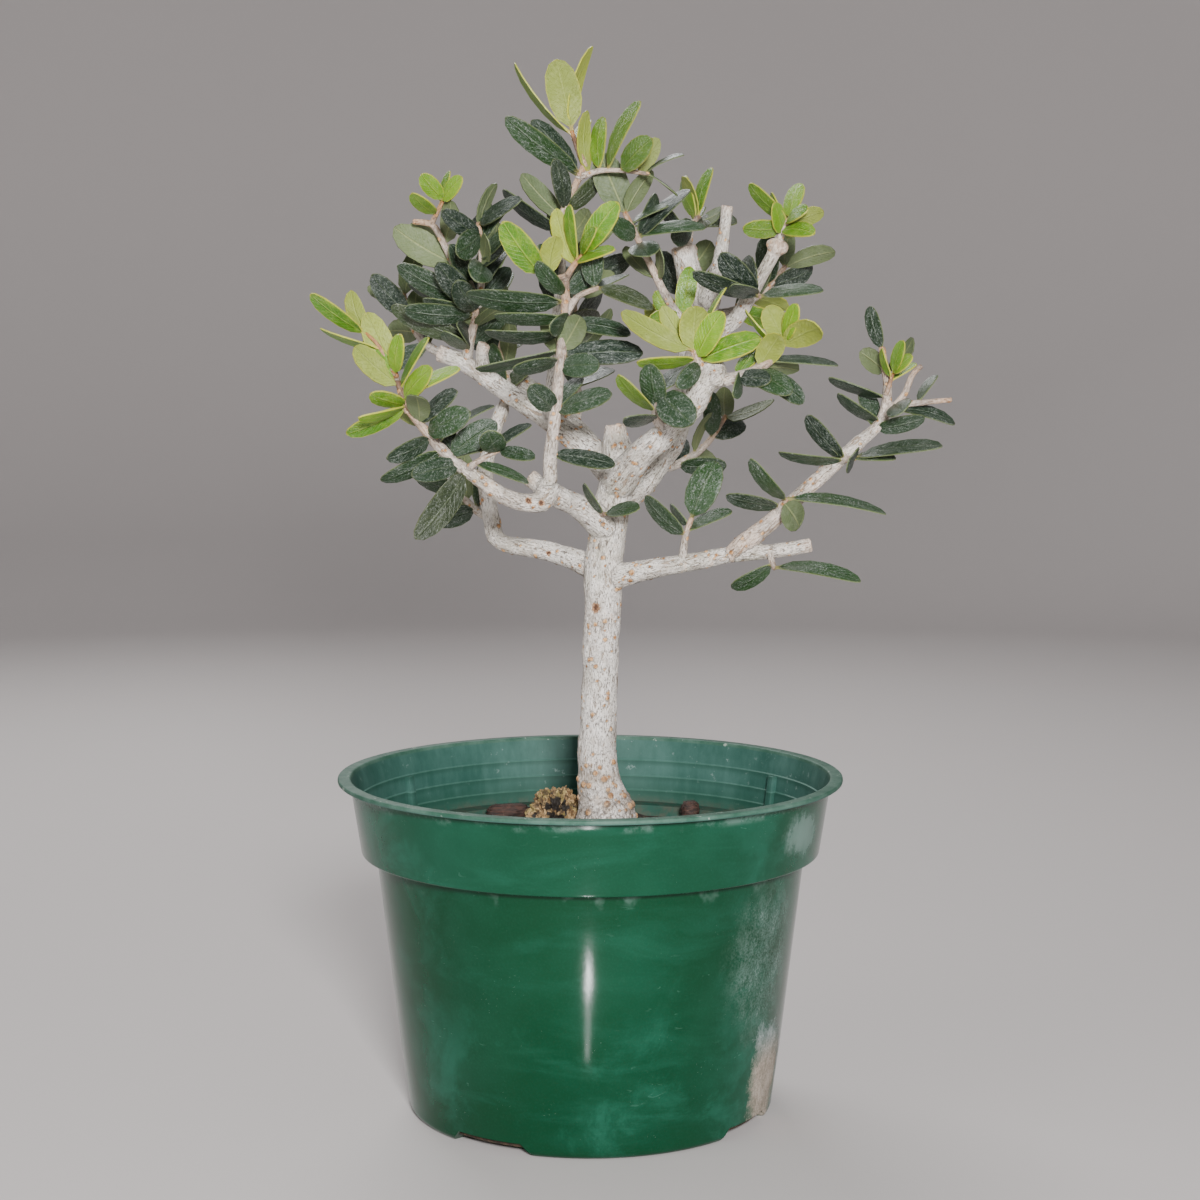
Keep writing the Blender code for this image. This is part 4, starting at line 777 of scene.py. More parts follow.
class Growth:    # the tubes of one piece of wood, and what its bark needs to know of them
    def __init__(self, seed):
        self.bm = bmesh.new()
        self.samples = []
        self.cuts = []
        self.seed = seed
        self.draw = random.Random(seed)

    def add(self, route, radii, young, sides=16, cut=False):
        growTube(self.bm, route, radii, sides)
        shift = Vector([self.draw.uniform(0, 0.1) for _ in range(3)])
        side = (route[1] - route[0]).orthogonal()
        run = 0.0
        for i, point in enumerate(route):
            ahead = (route[min(i + 1, len(route) - 1)] - route[max(i - 1, 0)]).normalized()
            side = (side - ahead * side.dot(ahead)).normalized()
            run += (point - route[max(i - 1, 0)]).length
            fresh = young[0] + (young[1] - young[0]) * i / (len(route) - 1)
            self.samples.append({"at": point, "ahead": ahead, "side": side, "run": run, "radius": radii[i],
                                 "young": fresh, "shift": shift})
        if cut:
            self.cuts.append((route[-1], (route[-1] - route[-2]).normalized(), radii[-1]))

    def nearest(self, near, place):    # the sample whose tube's skin lies closest
        found = [(distance - self.samples[i]["radius"], i) for _, i, distance in near.find_n(place, 8)]
        return self.samples[min(found, key=lambda row: row[0])[1]]

    def cutShare(self, place):    # 1 on a sawn end, less on the callus around it
        share = 0.0
        for end, outward, radius in self.cuts:
            away = place - end
            if away.length > bark["callus"] + radius:
                continue
            back = -away.dot(outward)
            ragged = noise.noise(place * 700) * 0.0004
            if back < 0.0002 + ragged * 0.5 and (away + outward * back).length < radius * 0.92 + ragged:
                share = 1.0
            else:
                fade = 1 - (back + ragged * 3) / bark["callus"]
                share = max(share, 0.75 * max(0.0, min(1.0, fade)))
        return share

    def swell(self, middle, radius):
        made = bmesh.ops.create_icosphere(self.bm, subdivisions=4, radius=radius,
                                          matrix=Matrix.Translation(middle))["verts"]
        for vert in made:
            vert.co = middle + (vert.co - middle) * (1 + noise.noise(vert.co * 330) * bark["knotRoughness"])

    def bumps(self, bm, voxel, marks):    # pores all over, knobs at the trunk's foot, then the listed marks
        draw = random.Random(self.seed)
        count = len(bm.verts)
        made = []
        for _ in range(int(count * (voxel / mm) ** 2 * bark["poresPerMm"])):
            size = draw.uniform(*bark["poreSize"])
            made.append((bm.verts[draw.randrange(count)].co.copy(), size, bark["poreRise"]))
        feet = [v.co.copy() for v in bm.verts if soil["top"] < v.co.z < bark["knobTop"]]
        for _ in range(bark["knobs"] if feet else 0):
            size = draw.uniform(*bark["knobSize"])
            made.append((draw.choice(feet), size, bark["knobRise"] * size))
        return made + seenMarks(BVHTree.FromBMesh(bm)) if marks else made

    def skin(self, name, voxel, marks=False):    # one mesh, with its relief and the paint's attributes
        mesh = remeshed(name, self.bm, voxel)
        bm = bmesh.new()
        bm.from_mesh(mesh)
        bmesh.ops.smooth_vert(bm, verts=bm.verts, factor=0.5, use_axis_x=True, use_axis_y=True,
                              use_axis_z=True)
        bm.normal_update()
        bm.verts.ensure_lookup_table()
        near = treeOfPoints([sample["at"] for sample in self.samples])
        bumps = self.bumps(bm, voxel, marks)
        bumpTree = treeOfPoints([place for place, _, _ in bumps])
        widest = max([size for _, size, _ in bumps], default=0.0)
        grainLayer = bm.verts.layers.float_vector.new("grain")
        layers = {name: bm.verts.layers.float.new(name) for name in ("pore", "scar", "cut", "young")}
        for vert in bm.verts:
            place = vert.co.copy()
            sample = self.nearest(near, place)
            off = place - sample["at"]
            ahead, side = sample["ahead"], sample["side"]
            grain = Vector((off.dot(side), off.dot(ahead.cross(side)),
                            (sample["run"] + off.dot(ahead)) * bark["alongGrain"])) + sample["shift"]
            values = {"pore": 0.0, "scar": 0.0, "cut": self.cutShare(place), "young": sample["young"]}
            stout = min(1.5, sample["radius"] / 0.003)
            rise = noise.noise(grain * bark["grooveScale"]) + noise.noise(grain * bark["ridgeScale"]) * 0.8
            rise = rise * bark["groove"] * stout
            rise += noise.noise(place * bark["unevenScale"]) * bark["unevenness"] * stout
            for _, i, gap in bumpTree.find_range(place, widest):
                _, size, height = bumps[i]
                if gap < size:
                    share = 1 - (gap / size) ** 2
                    rise += height * math.sqrt(share) * min(1.0, stout)
                    kind = "pore" if height > 0 else "scar"
                    values[kind] = max(values[kind], share)
            callus = values["cut"] if values["cut"] < 0.8 else 0.0
            for kind, layer in layers.items():
                vert[layer] = values[kind]
            vert[grainLayer] = grain
            rise += callus * bark["callusRise"]
            vert.co = place + vert.normal * rise * (0.3 if values["cut"] > 0.8 else 1.0)
        bm.to_mesh(mesh)
        bm.free()
        return mesh


def trunkRadii(route):    # the listed radii, one for each point of the route
    rows = [(z * mm, r * mm) for _, z, r in trunkRows]
    radii = []
    for point in route:
        for (lowZ, lowR), (highZ, highR) in zip(rows, rows[1:]):
            if lowZ <= point.z <= highZ + 1e-6:
                share = (point.z - lowZ) / (highZ - lowZ)
                radii.append(lowR + (highR - lowR) * share)
                break
    return radii


def makeWood(paint):
    growth = Growth(bark["seed"])
    trunk = smoothRoute([Vector((x, 0, z)) * mm for x, z, _ in trunkRows], 1.8 * mm)
    growth.add(trunk, trunkRadii(trunk), (0.0, 0.0), 28, cut=True)
    for rows, first, last in rootRoutes:
        route = smoothRoute([Vector(row) * mm for row in rows], 2 * mm)
        growth.add(route, evenRadii(route, first * mm, last * mm), (0.0, 0.0), 20)
    for name, (rows, first, last) in limbRoutes.items():
        route = smoothRoute([spot(*row) for row in rows], 2 * mm)
        radii = evenRadii(route, first * mm, last * mm)
        run = 0.0
        for i in range(1, len(route)):    # a limb is stouter where it leaves the wood
            run += (route[i] - route[i - 1]).length
            radii[i] *= 1 + bark["collar"] * math.exp(-abs(run - bark["collarFrom"]) / bark["collarReach"])
        growth.add(route, radii, youngLimbs.get(name, (0.0, 0.2)), 16, cut=name in sawnLimbs)
    for x, depth, z, radius in knots:
        growth.swell(spot(x, depth, z), radius * mm)
    mesh = growth.skin("wood_bark", bark["voxel"], marks=True)
    finishPiece("wood_bark", mesh, [paint], "wood", 60)
    return len(mesh.polygons)


# leaves

leafShape = {
    "bow": (0.05, 0.11), "fold": (0.02, 0.16), "twist": 14, "sickle": 0.05, "thick": 0.00045,
    "stalkThick": 0.0011, "stalk": 0.14, "rib": 0.00018, "rolledEdge": 0.07, "seed": 31,
}
matureColors = {
    "deep": (0.005, 0.014, 0.008), "light": (0.015, 0.050, 0.009), "cloud": (0.026, 0.046, 0.026),
    "vein": (0.090, 0.125, 0.060), "rim": (0.150, 0.180, 0.060), "dust": (0.420, 0.455, 0.420),
    "under": (0.085, 0.120, 0.050), "underLight": (0.160, 0.200, 0.085), "underCloud": (0.210, 0.240, 0.150),
    "underRib": (0.300, 0.330, 0.140), "stalk": (0.300, 0.260, 0.090), "ribShow": 0.30, "rimShow": 0.25,
    "dustShow": 0.78,
}
newColors = {
    "deep": (0.062, 0.190, 0.004), "light": (0.190, 0.360, 0.006), "cloud": (0.290, 0.440, 0.028),
    "vein": (0.380, 0.480, 0.060), "rim": (0.620, 0.560, 0.050), "dust": (0.600, 0.680, 0.320),
    "under": (0.160, 0.205, 0.024), "underLight": (0.350, 0.410, 0.050), "underCloud": (0.420, 0.470, 0.130),
    "underRib": (0.300, 0.360, 0.070), "stalk": (0.520, 0.370, 0.110), "ribShow": 0.4, "rimShow": 0.65,
    "dustShow": 0.3,
}
# young foliage among the old: x, z and reach in mm, then how bright
brightPatches = ((14, 312, 11, 0.42), (1, 320, 7, 0.8), (37, 300, 8, 0.75), (62, 294, 12, 0.75),
                 (25, 256, 15, 0.9), (50, 254, 12, 0.95), (13, 234, 5, 0.55), (-66, 232, 9, 0.5))


def leafSide(paint, colors, spread):    # the upper and the under side in one leaf's colours
    top = paint.mix(spread["tone"], colors["deep"], colors["light"])
    top = paint.mix(spread["cloud"] * 0.5, top, colors["cloud"])
    top = paint.mix(spread["veins"] * 0.18, top, colors["vein"])
    top = paint.mix(spread["rib"] * colors["ribShow"], top, colors["vein"])
    top = paint.mix(spread["rim"] * colors["rimShow"], top, colors["rim"])
    top = paint.mix(spread["dust"] * colors["dustShow"], top, colors["dust"])
    below = paint.mix(spread["tone"], colors["under"], colors["underLight"])
    below = paint.mix(spread["cloud"] * 0.4, below, colors["underCloud"])
    below = paint.mix((spread["rib"] * 0.6).most(spread["veins"] * 0.15), below, colors["underRib"])
    below = paint.mix(spread["rim"] * 0.4, below, colors["rim"])
    both = paint.mix(spread["under"], top, below)
    return paint.mix(spread["stalk"] * 0.8, both, colors["stalk"])


def leafPaint(name):
    paint = Paint(name)
    place = paint.place()
    along, across, _ = paint.parts(paint.uv())
    side = (across - 0.5).size() * 2
    wave = paint.node("ShaderNodeMath", {"operation": "SINE"}, {0: (along * 11 - side * 2.6) * math.tau})
    patch = paint.noise(place, 130, 4, 0.62).between(0.42, 0.58)
    tone = paint.value("tone")
    # dust in streaks along the blade, in fine grains and in dried drops
    local = paint.node("ShaderNodeCombineXYZ", None, {0: along * 3 + tone * 40, 1: across * 6, 2: tone * 17})
    streaky = paint.noise(local, 2.2, 7, 0.78).between(0.48, 0.64)
    grains = paint.noise(place, 1500, 4, 0.75).between(0.535, 0.595)
    frost = grains * (0.25 + streaky * 0.75) + streaky * 0.25
    drops = paint.cells(place, 1500).between(0.24, 0.10) * paint.noise(place, 420, 2).between(0.46, 0.58)
    spread = {
        "tone": tone, "under": paint.value("under").between(0.4, 0.6), "veins": wave.between(0.72, 1.0),
        "cloud": paint.noise(place, 260, 5, 0.65).between(0.42, 0.70), "rib": side.between(0.10, 0.02),
        "rim": side.between(0.89, 1.0).most(along.between(0.965, 1.0)), "stalk": along.between(0.10, 0.03),
        "dust": (frost * (0.35 + patch * 0.65)).most(drops * 0.8).least(1.0),
    }
    mature, new = leafSide(paint, matureColors, spread), leafSide(paint, newColors, spread)
    paint.color = paint.mix(paint.value("fresh"), mature, new)
    dying = paint.mix(spread["cloud"], (0.110, 0.095, 0.024), (0.210, 0.190, 0.064))
    paint.lay(paint.value("age") * 0.22, dying)
    glossy = 0.36 + spread["dust"] * 0.25 + spread["under"] * 0.24
    wrinkle = paint.noise(place, 620, 3, 0.6)
    height = (1 - spread["rib"]) * 0.5 - spread["veins"] * 0.2 + wrinkle * 0.9 + spread["dust"] * 0.35
    return paint.finish(glossy, paint.bump(height, 0.00038, 0.9))


def leafOutline(share):    # half-width along the blade: a slim stalk, then a long ellipse with a blunt tip
    blade = max(0.0, (share - 0.05) / 0.95)
    return max(0.09, math.sqrt(max(0.0, 1 - abs(2 * blade ** 1.06 - 1) ** 2.3)))


def leafPattern():    # a flat blade 1 long and 1 wide with an upper and an under side
    bm = bmesh.new()
    uv = bm.loops.layers.uv.new("UVMap")
    bmesh.ops.create_grid(bm, x_segments=7, y_segments=4, size=0.5)
    for vert in bm.verts:
        vert.co.x = 0.5 - 0.5 * math.cos(math.pi * (vert.co.x + 0.5))
    for face in bm.faces:
        for loop in face.loops:
            loop[uv].uv = (loop.vert.co.x, loop.vert.co.y + 0.5)
    bmesh.ops.solidify(bm, geom=bm.verts[:] + bm.edges[:] + bm.faces[:], thickness=1.0)
    middle = sum(v.co.z for v in bm.verts) / len(bm.verts)
    under = bm.verts.layers.float.new("under")
    for name in ("tone", "fresh", "age"):
        bm.verts.layers.float.new(name)
    for vert in bm.verts:
        vert[under] = 1.0 if vert.co.z < middle else 0.0
        vert.co.z = -0.5 if vert.co.z < middle else 0.5
    bmesh.ops.recalc_face_normals(bm, faces=bm.faces)
    return meshFrom("leaf pattern", bm)


def leafFrame(base, tip, turn):    # along the leaf, across it, and out of its upper side
    along = (tip - base).normalized()
    face = (eye - base).normalized()
    face = (face - along * face.dot(along)).normalized()
    face = Matrix.Rotation(math.radians(-turn), 3, along) @ face
    return along, along.cross(face).normalized(), face


def turnedTip(base, tip, turn, change):    # the tip after a small turn about the leaf's face and its width
    _, across, face = leafFrame(base, tip, turn)
    reach = Matrix.Rotation(math.radians(change[0]), 3, face) @ (tip - base)
    return base + Matrix.Rotation(math.radians(change[1]), 3, across) @ reach


def brightness(point):    # the bright patches that the eye sees in the crown
    seen = eye + (point - eye) * (-eye.y / (point.y - eye.y))
    best = 0.0
    for x, z, reach, share in brightPatches:
        gap = math.hypot(seen.x / mm - x, seen.z / mm - z) / reach
        if gap < 1:
            best = max(best, share)
    return best


def addLeaf(bm, pattern, leaf, draw, fresh):
    root, tip, width, turn = leaf
    along, across, face = leafFrame(root, tip, turn)
    length = (tip - root).length
    bow = draw.uniform(*leafShape["bow"])
    fold = draw.uniform(*leafShape["fold"])
    twist = math.radians(draw.uniform(-leafShape["twist"], leafShape["twist"]))
    sickle = draw.uniform(-leafShape["sickle"], leafShape["sickle"])
    values = {"tone": draw.random() ** 1.4, "age": max(0.0, draw.uniform(-6, 0.7)) * (1 - fresh)}
    values["fresh"] = min(1.0, max(fresh, brightness((root + tip) / 2)) * draw.uniform(0.82, 1.1))
    count = len(bm.verts)
    bm.from_mesh(pattern)
    bm.verts.ensure_lookup_table()
    layers = {name: bm.verts.layers.float[name] for name in values}
    blade = leafShape["thick"]
    for vert in bm.verts[count:]:
        x, y, z = vert.co
        out = y * leafOutline(x)
        thick = blade + (leafShape["stalkThick"] - blade) * max(0.0, 1 - x / leafShape["stalk"])
        lift = 4 * bow * length * x * (1 - x) + fold * width * abs(out)
        lift -= leafShape["rolledEdge"] * width * (2 * abs(out)) ** 4
        lift -= leafShape["rib"] * max(0.0, 1 - abs(y) / 0.2) * (1 - x)
        turnHere = twist * (x - 0.3)
        turned = across * math.cos(turnHere) + face * math.sin(turnHere)
        side = out * width + sickle * length * (x * x - x)
        vert.co = root + along * (x * length) + turned * side + face * (lift + z * thick)
        for name, layer in layers.items():
            vert[layer] = values[name]


# leafy shoots

shootShape = {
    "frameStep": 14, "step": 1.6, "inside": 1.6, "seat": 0.45, "sides": 12, "taper": 0.8, "nearby": 1.3,
    "bearing": 18, "lean": (35, 60), "length": (0.8, 1.12), "width": (0.85, 1.1), "turn": 70, "seed": 7,
    # how young the bark is at a twig's two ends: on new growth, on a node's main stem, on its side twigs
    "newAge": (0.75, 1.0), "stemAge": (0.33, 0.85), "sideAge": (0.5, 0.8), "newGrowth": 0.9,
}


def twig(route, thick, leaves=(), pairs=None):    # route: x, depth and z; thick: both ends' radii
    return {"route": route, "thick": thick, "leaves": leaves, "pairs": pairs}


# a leaf: share along its stem, x and z of its tip, length (minus leans away), width and turn
# pairs: first and last share along the stem, how many, length and width
shoots = {
    "leader": [
        twig(((-10, 5, 262), (-9, 5, 286), (-8, 5, 294), (-6, 5, 298), (-4, 4, 302), (-2, 4, 307)),
             (2.0, 1.3),
             ((0.60, -22, 304, 19, 8, 145), (0.52, -28, 299, 21, 8.5, 58), (0.94, -27, 322, 31, 8.5, 33),
              (0.90, -21, 319, 24, 8, -40)), (0.12, 0.66, 3, 17, 7.5)),
        twig(((-3, 4, 303), (3, 3, 305), (11, 1, 305), (19, -1, 304)), (1.1, 0.8),
             ((0.30, 4, 322, -18, 7, 45), (0.42, 16, 327, 25, 8, 60), (0.60, 20, 315, 17, 9, 33),
              (0.85, 22, 315, -14, 7, 145), (0.95, 30, 310, 14, 5, 80), (0.97, 28, 297, 12, 4.5, 90),
              (0.15, -1, 324, -19, 7, 130)))],
    "leader_tip": [
        twig(((-2, 4, 307), (-4, 4, 312), (-6, 3, 318)), (1.2, 0.9),
             ((0.98, -11, 340, 24, 11, 180), (0.85, -24, 339, 26, 9, 78), (0.97, -1, 345, 28, 9, 115),
              (0.60, 8, 318, -16, 6, 60)))],
    "center_stem": [
        twig(((-13, -18, 205), (-13, -20, 212), (-12, -21, 222), (-11, -22, 232), (-10, -22, 241),
              (-9, -21, 251), (-8, -20, 260), (-8, -19, 270)), (2.3, 1.7),
             ((0.90, -40, 266, 27, 9, 40), (0.82, -31, 259, 20, 7, 56), (0.80, -13, 256, 15, 8, 40),
              (0.74, -34, 254, 21, 8, 58), (0.66, -37, 242, 24, 8, 70), (0.60, -25, 242, 17, 7, 53),
              (0.33, 7, 234, 20, 8, 43), (0.12, 8, 211, 19, 8, 50), (0.78, 13, 253, 20, 8, 50),
              (0.62, 17, 247, 21, 9, 30), (0.56, 3, 243, 14, 8, 20)), (0.35, 0.93, 3, 17, 7.5)),
        twig(((-8, -20, 258), (-4, -20, 265), (3, -20, 268)), (1.2, 1.0),
             ((0.95, 20, 261, 19, 8, 50), (0.90, 1, 282, 14, 8, 30), (0.80, 12, 272, -16, 7, 70)))],
    "center_stem_tip": [
        twig(((-8, -19, 270), (-6, -20, 274), (-2, -21, 279)), (1.3, 0.9),
             ((0.50, -11, 293, 18, 7, 145), (0.70, -8, 294, -17, 6, 60), (0.98, 9, 295, 20, 8.5, 30),
              (0.90, 2, 287, 12, 5, 50), (0.60, 8, 280, 15, 6, 60))),
        twig(((-7, -19, 272), (-11, -20, 271), (-16, -20, 272)), (1.0, 0.8),
             ((0.95, -28, 289, 23, 9.5, 20), (0.70, -13, 284, 14, 8, 150)))],
    "left_reach_stem": [
        twig(((-37, -31, 207), (-44, -33, 212), (-51, -35, 219), (-55, -36, 224), (-59, -37, 229)),
             (2.2, 1.6),
             ((0.12, -57, 187, 29, 9.5, 25), (0.62, -66, 213, 17, 7, 35), (0.45, -68, 206, 20, 8, 45),
              (0.80, -43, 235, 16, 7, 50), (0.68, -40, 231, 19, 8.5, 20), (0.52, -31, 230, 19, 7, 75),
              (0.35, -32, 227, 18, 8.5, 10), (0.25, -46, 219, -16, 6, 60), (0.30, -28, 218, 15, 6, 60)),
             (0.2, 0.8, 2, 17, 7.5)),
        twig(((-40, -33, 210), (-35, -37, 213), (-29, -38, 216)), (1.2, 0.9),
             ((0.95, -18, 213, 13, 6, 45), (0.90, -33, 222, 14, 8, 10), (0.7, -19, 224, 13, 5, 55),
              (0.3, -20, 205, 12, 5, 50)))],
    "left_reach_tip": [
        twig(((-59, -37, 229), (-61, -38, 234), (-63, -39, 241)), (1.5, 1.0),
             ((0.60, -76, 249, 20, 8, 150), (0.80, -73, 251, -16, 7, 20), (0.97, -72, 260, 18, 9, 165),
              (0.95, -61, 253, 15, 6, 40), (0.50, -52, 252, 19, 6, 70), (0.30, -42, 242, 20, 7, 60),
              (0.25, -51, 242, 16, 8, 40), (0.10, -71, 234, 15, 7, 50), (0.08, -76, 229, 19, 6, 70),
              (0.03, -79, 221, 18, 7, 40))),
        twig(((-62, -38, 239), (-68, -38, 249), (-73, -38, 254)), (0.9, 0.7),
             ((0.95, -90, 266, 21, 7, 50), (0.90, -77, 267, -15, 7, 140), (0.60, -87, 255, 18, 6, 70)))],
    "right_knob_stem": [
        twig(((42, -29, 238), (50, -30, 240), (56, -31, 243), (60, -31, 246)), (2.2, 1.5),
             ((0.40, 65, 234, 18, 8, 30), (0.55, 69, 231, -18, 8, 40), (0.20, 46, 234, 14, 7, 60),
              (0.85, 80, 243, 19, 7, 68)), (0.15, 0.6, 2, 16, 7.5))],
    "right_knob_tip": [
        twig(((60, -31, 246), (61, -32, 248), (63, -33, 251)), (1.2, 0.9),
             ((0.60, 74, 255, 21, 9, 160), (0.95, 68, 261, 15, 6, 40), (0.80, 68, 256, -14, 6, 50),
              (0.90, 57, 262, 13, 8, 170), (0.40, 50, 261, 16, 6, 75)))],
    "right_knob_shoot": [
        twig(((38, -28, 240), (35, -29, 244), (33, -30, 248)), (1.6, 1.2),
             ((0.95, 10, 260, 27, 8, 150), (0.85, 23, 262, -17, 7, 145), (0.90, 34, 262, 15, 10, 160),
              (0.55, 15, 244, 19, 7, 60), (0.50, 43, 260, 18, 9, 30), (0.35, 56, 249, 21, 9, 35),
              (0.75, 45, 268, 22, 6, 75), (0.20, 28, 236, 13, 6, 20)))],
    "right_mid_stem": [
        twig(((24, -18, 221), (21, -27, 227), (23, -31, 235)), (1.6, 1.2),
             ((0.5, 9, 240, 18, 7, 60), (0.6, 24, 244, 16, 9, 30), (0.9, 33, 224, 17, 11, 5),
              (0.95, 40, 238, -18, 8, 50), (0.3, 11, 226, 17, 7, 60)))],
    "left_mid_stem": [
        twig(((-40, 18, 244), (-39, 15, 250), (-38, 13, 254), (-37, 12, 258), (-37, 10, 263)), (2.0, 1.5),
             ((0.80, -60, 261, 24, 8, 35), (0.88, -54, 262, 18, 7, 55), (0.95, -62, 275, 28, 9, 30),
              (0.97, -49, 276, 22, 9, 20), (0.30, -64, 262, 27, 8, 35), (0.10, -47, 254, 14, 8, 60),
              (0.92, -61, 269, -24, 9, 60)), (0.2, 0.85, 3, 17, 7.5))],
    "upper_left_stem": [
        twig(((-37, 10, 263), (-40, 8, 272), (-44, 8, 276), (-48, 8, 284), (-51, 8, 288), (-57, 7, 289)),
             (1.6, 1.2),
             ((0.40, -63, 287, 21, 11, 160), (0.30, -62, 277, 24, 7, 70), (0.35, -35, 291, -17, 7, 60)),
             (0.15, 0.6, 2, 17, 7.5))],
    "upper_left_tip": [
        twig(((-51, 8, 288), (-49, 5, 292), (-47, 4, 296)), (1.0, 0.8),
             ((0.97, -54, 304, 12, 6, 20), (0.90, -41, 303, 12, 6, 40), (0.80, -45, 305, -11, 5, 60),
              (0.35, -57, 298, 13, 7, 50)))],
    "upper_mid_stem": [
        twig(((-36, 10, 262), (-35, 5, 270), (-35, 3, 276), (-35, 2, 283), (-36, 1, 289)), (1.4, 1.0),
             ((0.95, -22, 296, 20, 7, 50), (0.85, -43, 279, 16, 9, 25), (0.70, -25, 296, 17, 6, 60),
              (0.55, -27, 285, 14, 7, 60), (0.45, -27, 281, 13, 6, 60), (0.50, -38, 272, 15, 9, 20),
              (0.90, -30, 301, -15, 7, 120)), (0.15, 0.8, 3, 17, 7.5))],
    "right_inner_stem": [
        twig(((31, 27, 242), (33, 18, 252), (25, 12, 264), (19, 9, 276), (15, 7, 284), (11, 5, 292)),
             (1.8, 1.2),
             ((0.98, 0, 309, 20, 11, 175), (0.80, 19, 278, 15, 10, 20), (0.82, 32, 299, 23, 8, 55),
              (0.84, 37, 287, 21, 7, 60), (0.92, 25, 294, 14, 5, 70), (0.90, 21, 290, -12, 5, 60),
              (0.99, 20, 305, 15, 8, 140)), (0.30, 0.85, 3, 17, 7.5))],
    "right_crown_stem": [
        twig(((31, 29, 280), (32, 28, 286), (35, 26, 291)), (1.8, 1.2),
             ((0.95, 39, 306, 16, 6, 50), (0.90, 30, 303, -16, 8, 60), (0.70, 46, 287, 16, 8, 50),
              (0.60, 26, 284, 14, 9, 30)), (0.2, 0.7, 2, 16, 7.5))],
    "right_upper_stem": [
        twig(((60, 7, 281), (62, 6, 287), (64, 5, 290)), (1.5, 1.0),
             ((0.85, 51, 301, 16, 7, 50), (0.95, 67, 301, -14, 7, 40), (0.30, 72, 285, 15, 7, 45),
              (0.40, 49, 287, 14, 7, 30), (0.70, 70, 293, 12, 6, 60), (0.60, 58, 298, -13, 6, 60)),
             (0.1, 0.5, 2, 14, 7))],
    "right_side_stem": [
        twig(((50, 14, 263), (52, 6, 266), (55, 1, 265)), (1.4, 1.0),
             ((0.95, 75, 267, 21, 8, 60), (0.60, 46, 269, 18, 8, 45), (0.80, 42, 279, 20, 9, 30),
              (0.90, 33, 273, 25, 8, 50), (0.70, 58, 277, -15, 8, 40)))],
    "right_low_stem": [
        twig(((88, -9, 219), (94, -8, 225), (96, -7, 235), (95, -6, 243), (94, -6, 249)), (2.1, 1.4),
             ((0.50, 77, 239, 19, 7, 70), (0.25, 80, 234, 17, 7, 60), (0.97, 90, 262, -14, 6, 40)),
             (0.15, 0.75, 2, 15, 7)),
        twig(((94, -8, 224), (101, -10, 233), (104, -11, 240), (107, -12, 243)), (1.4, 1.1),
             ((0.25, 118, 222, 17, 6, 55), (0.35, 101, 228, 12, 9, 5))),
        twig(((98, -9, 229), (106, -10, 231), (117, -13, 232)), (1.3, 1.0),
             ((0.5, 112, 240, -11, 5, 60),))],
    "right_low_tip": [
        twig(((96, -9, 235), (97, -10, 238), (98, -11, 241)), (0.9, 0.7),
             ((0.95, 101, 251, 12, 5, 40), (0.90, 104, 246, 10, 5, 50), (0.50, 106, 243, 10, 4, 60),
              (0.70, 95, 247, -10, 4, 60)))],
    "right_low_leaves": [
        twig(((80, -10, 212), (83, -14, 213), (86, -16, 213)), (1.5, 1.0),
             ((0.30, 70, 227, 15, 8, 50), (0.20, 61, 215, 18, 6, 60), (0.60, 84, 213, 14, 9, 20),
              (0.80, 99, 213, 14, 6, 60), (0.95, 114, 217, 30, 8, 60), (0.10, 72, 220, -13, 4, 70)))],
    "right_fork_leaves": [
        twig(((61, -11, 195), (62, -15, 198), (64, -18, 200)), (1.5, 1.0),
             ((0.90, 52, 213, 20, 7, 50), (0.30, 44, 201, 14, 7, 50), (0.60, 68, 191, 14, 9, 160),
              (0.95, 96, 195, 26, 7, 60)))],
    "right_end_leaf": [
        twig(((58, -12, 184), (59, -15, 180), (60, -17, 177)), (1.3, 1.0),
             ((0.90, 88, 173, 30, 7, 55), (0.5, 46, 171, -16, 7, 50)))],
    "right_low_twig": [
        twig(((30, -9, 181), (31, -10, 188), (33, -10, 194)), (1.5, 1.1),
             ((0.95, 41, 212, 20, 11, 20), (0.50, 18, 201, 18, 8, 45), (0.80, 26, 198, -11, 5, 60),
              (0.6, 46, 196, -15, 7, 60)))],
    "front_sprout": [
        twig(((3, -4, 194), (4, -9, 195), (5, -11, 195)), (1.3, 1.0),
             ((0.95, 16, 197, 14, 6, 50), (0.6, -2, 205, 12, 5, 60)))],
    "left_low_stem": [
        twig(((-28, 25, 230), (-27, 27, 237), (-29, 30, 246), (-31, 33, 255)), (1.9, 1.2),
             pairs=(0.15, 0.97, 4, 18, 8))],
    "left_low_side": [
        twig(((-32, 20, 193), (-39, 28, 198), (-45, 34, 206)), (1.7, 1.1), pairs=(0.25, 0.97, 4, 18, 8))],
    "left_mid_end": [
        twig(((-47, 19, 246), (-53, 27, 250), (-58, 33, 257), (-60, 37, 266)), (1.7, 1.1),
             pairs=(0.2, 0.97, 4, 18, 8))],
    "back_left_stem": [
        twig(((-30, 36, 243), (-32, 42, 250), (-31, 47, 260), (-33, 50, 271)), (2.0, 1.2),
             pairs=(0.15, 0.97, 4, 19, 8.5))],
    "back_mid_stem": [
        twig(((-5, 22, 222), (-4, 31, 232), (-6, 38, 245), (-5, 42, 259), (-7, 43, 271)), (1.9, 1.2),
             pairs=(0.25, 0.97, 4, 19, 8.5))],
    "back_right_stem": [
        twig(((32, 28, 246), (31, 38, 251), (29, 46, 260), (31, 51, 272)), (1.9, 1.2),
             pairs=(0.25, 0.97, 4, 19, 8.5))],
    "back_side_stem": [
        twig(((38, 30, 259), (47, 36, 261), (56, 39, 267), (63, 38, 275)), (1.8, 1.1),
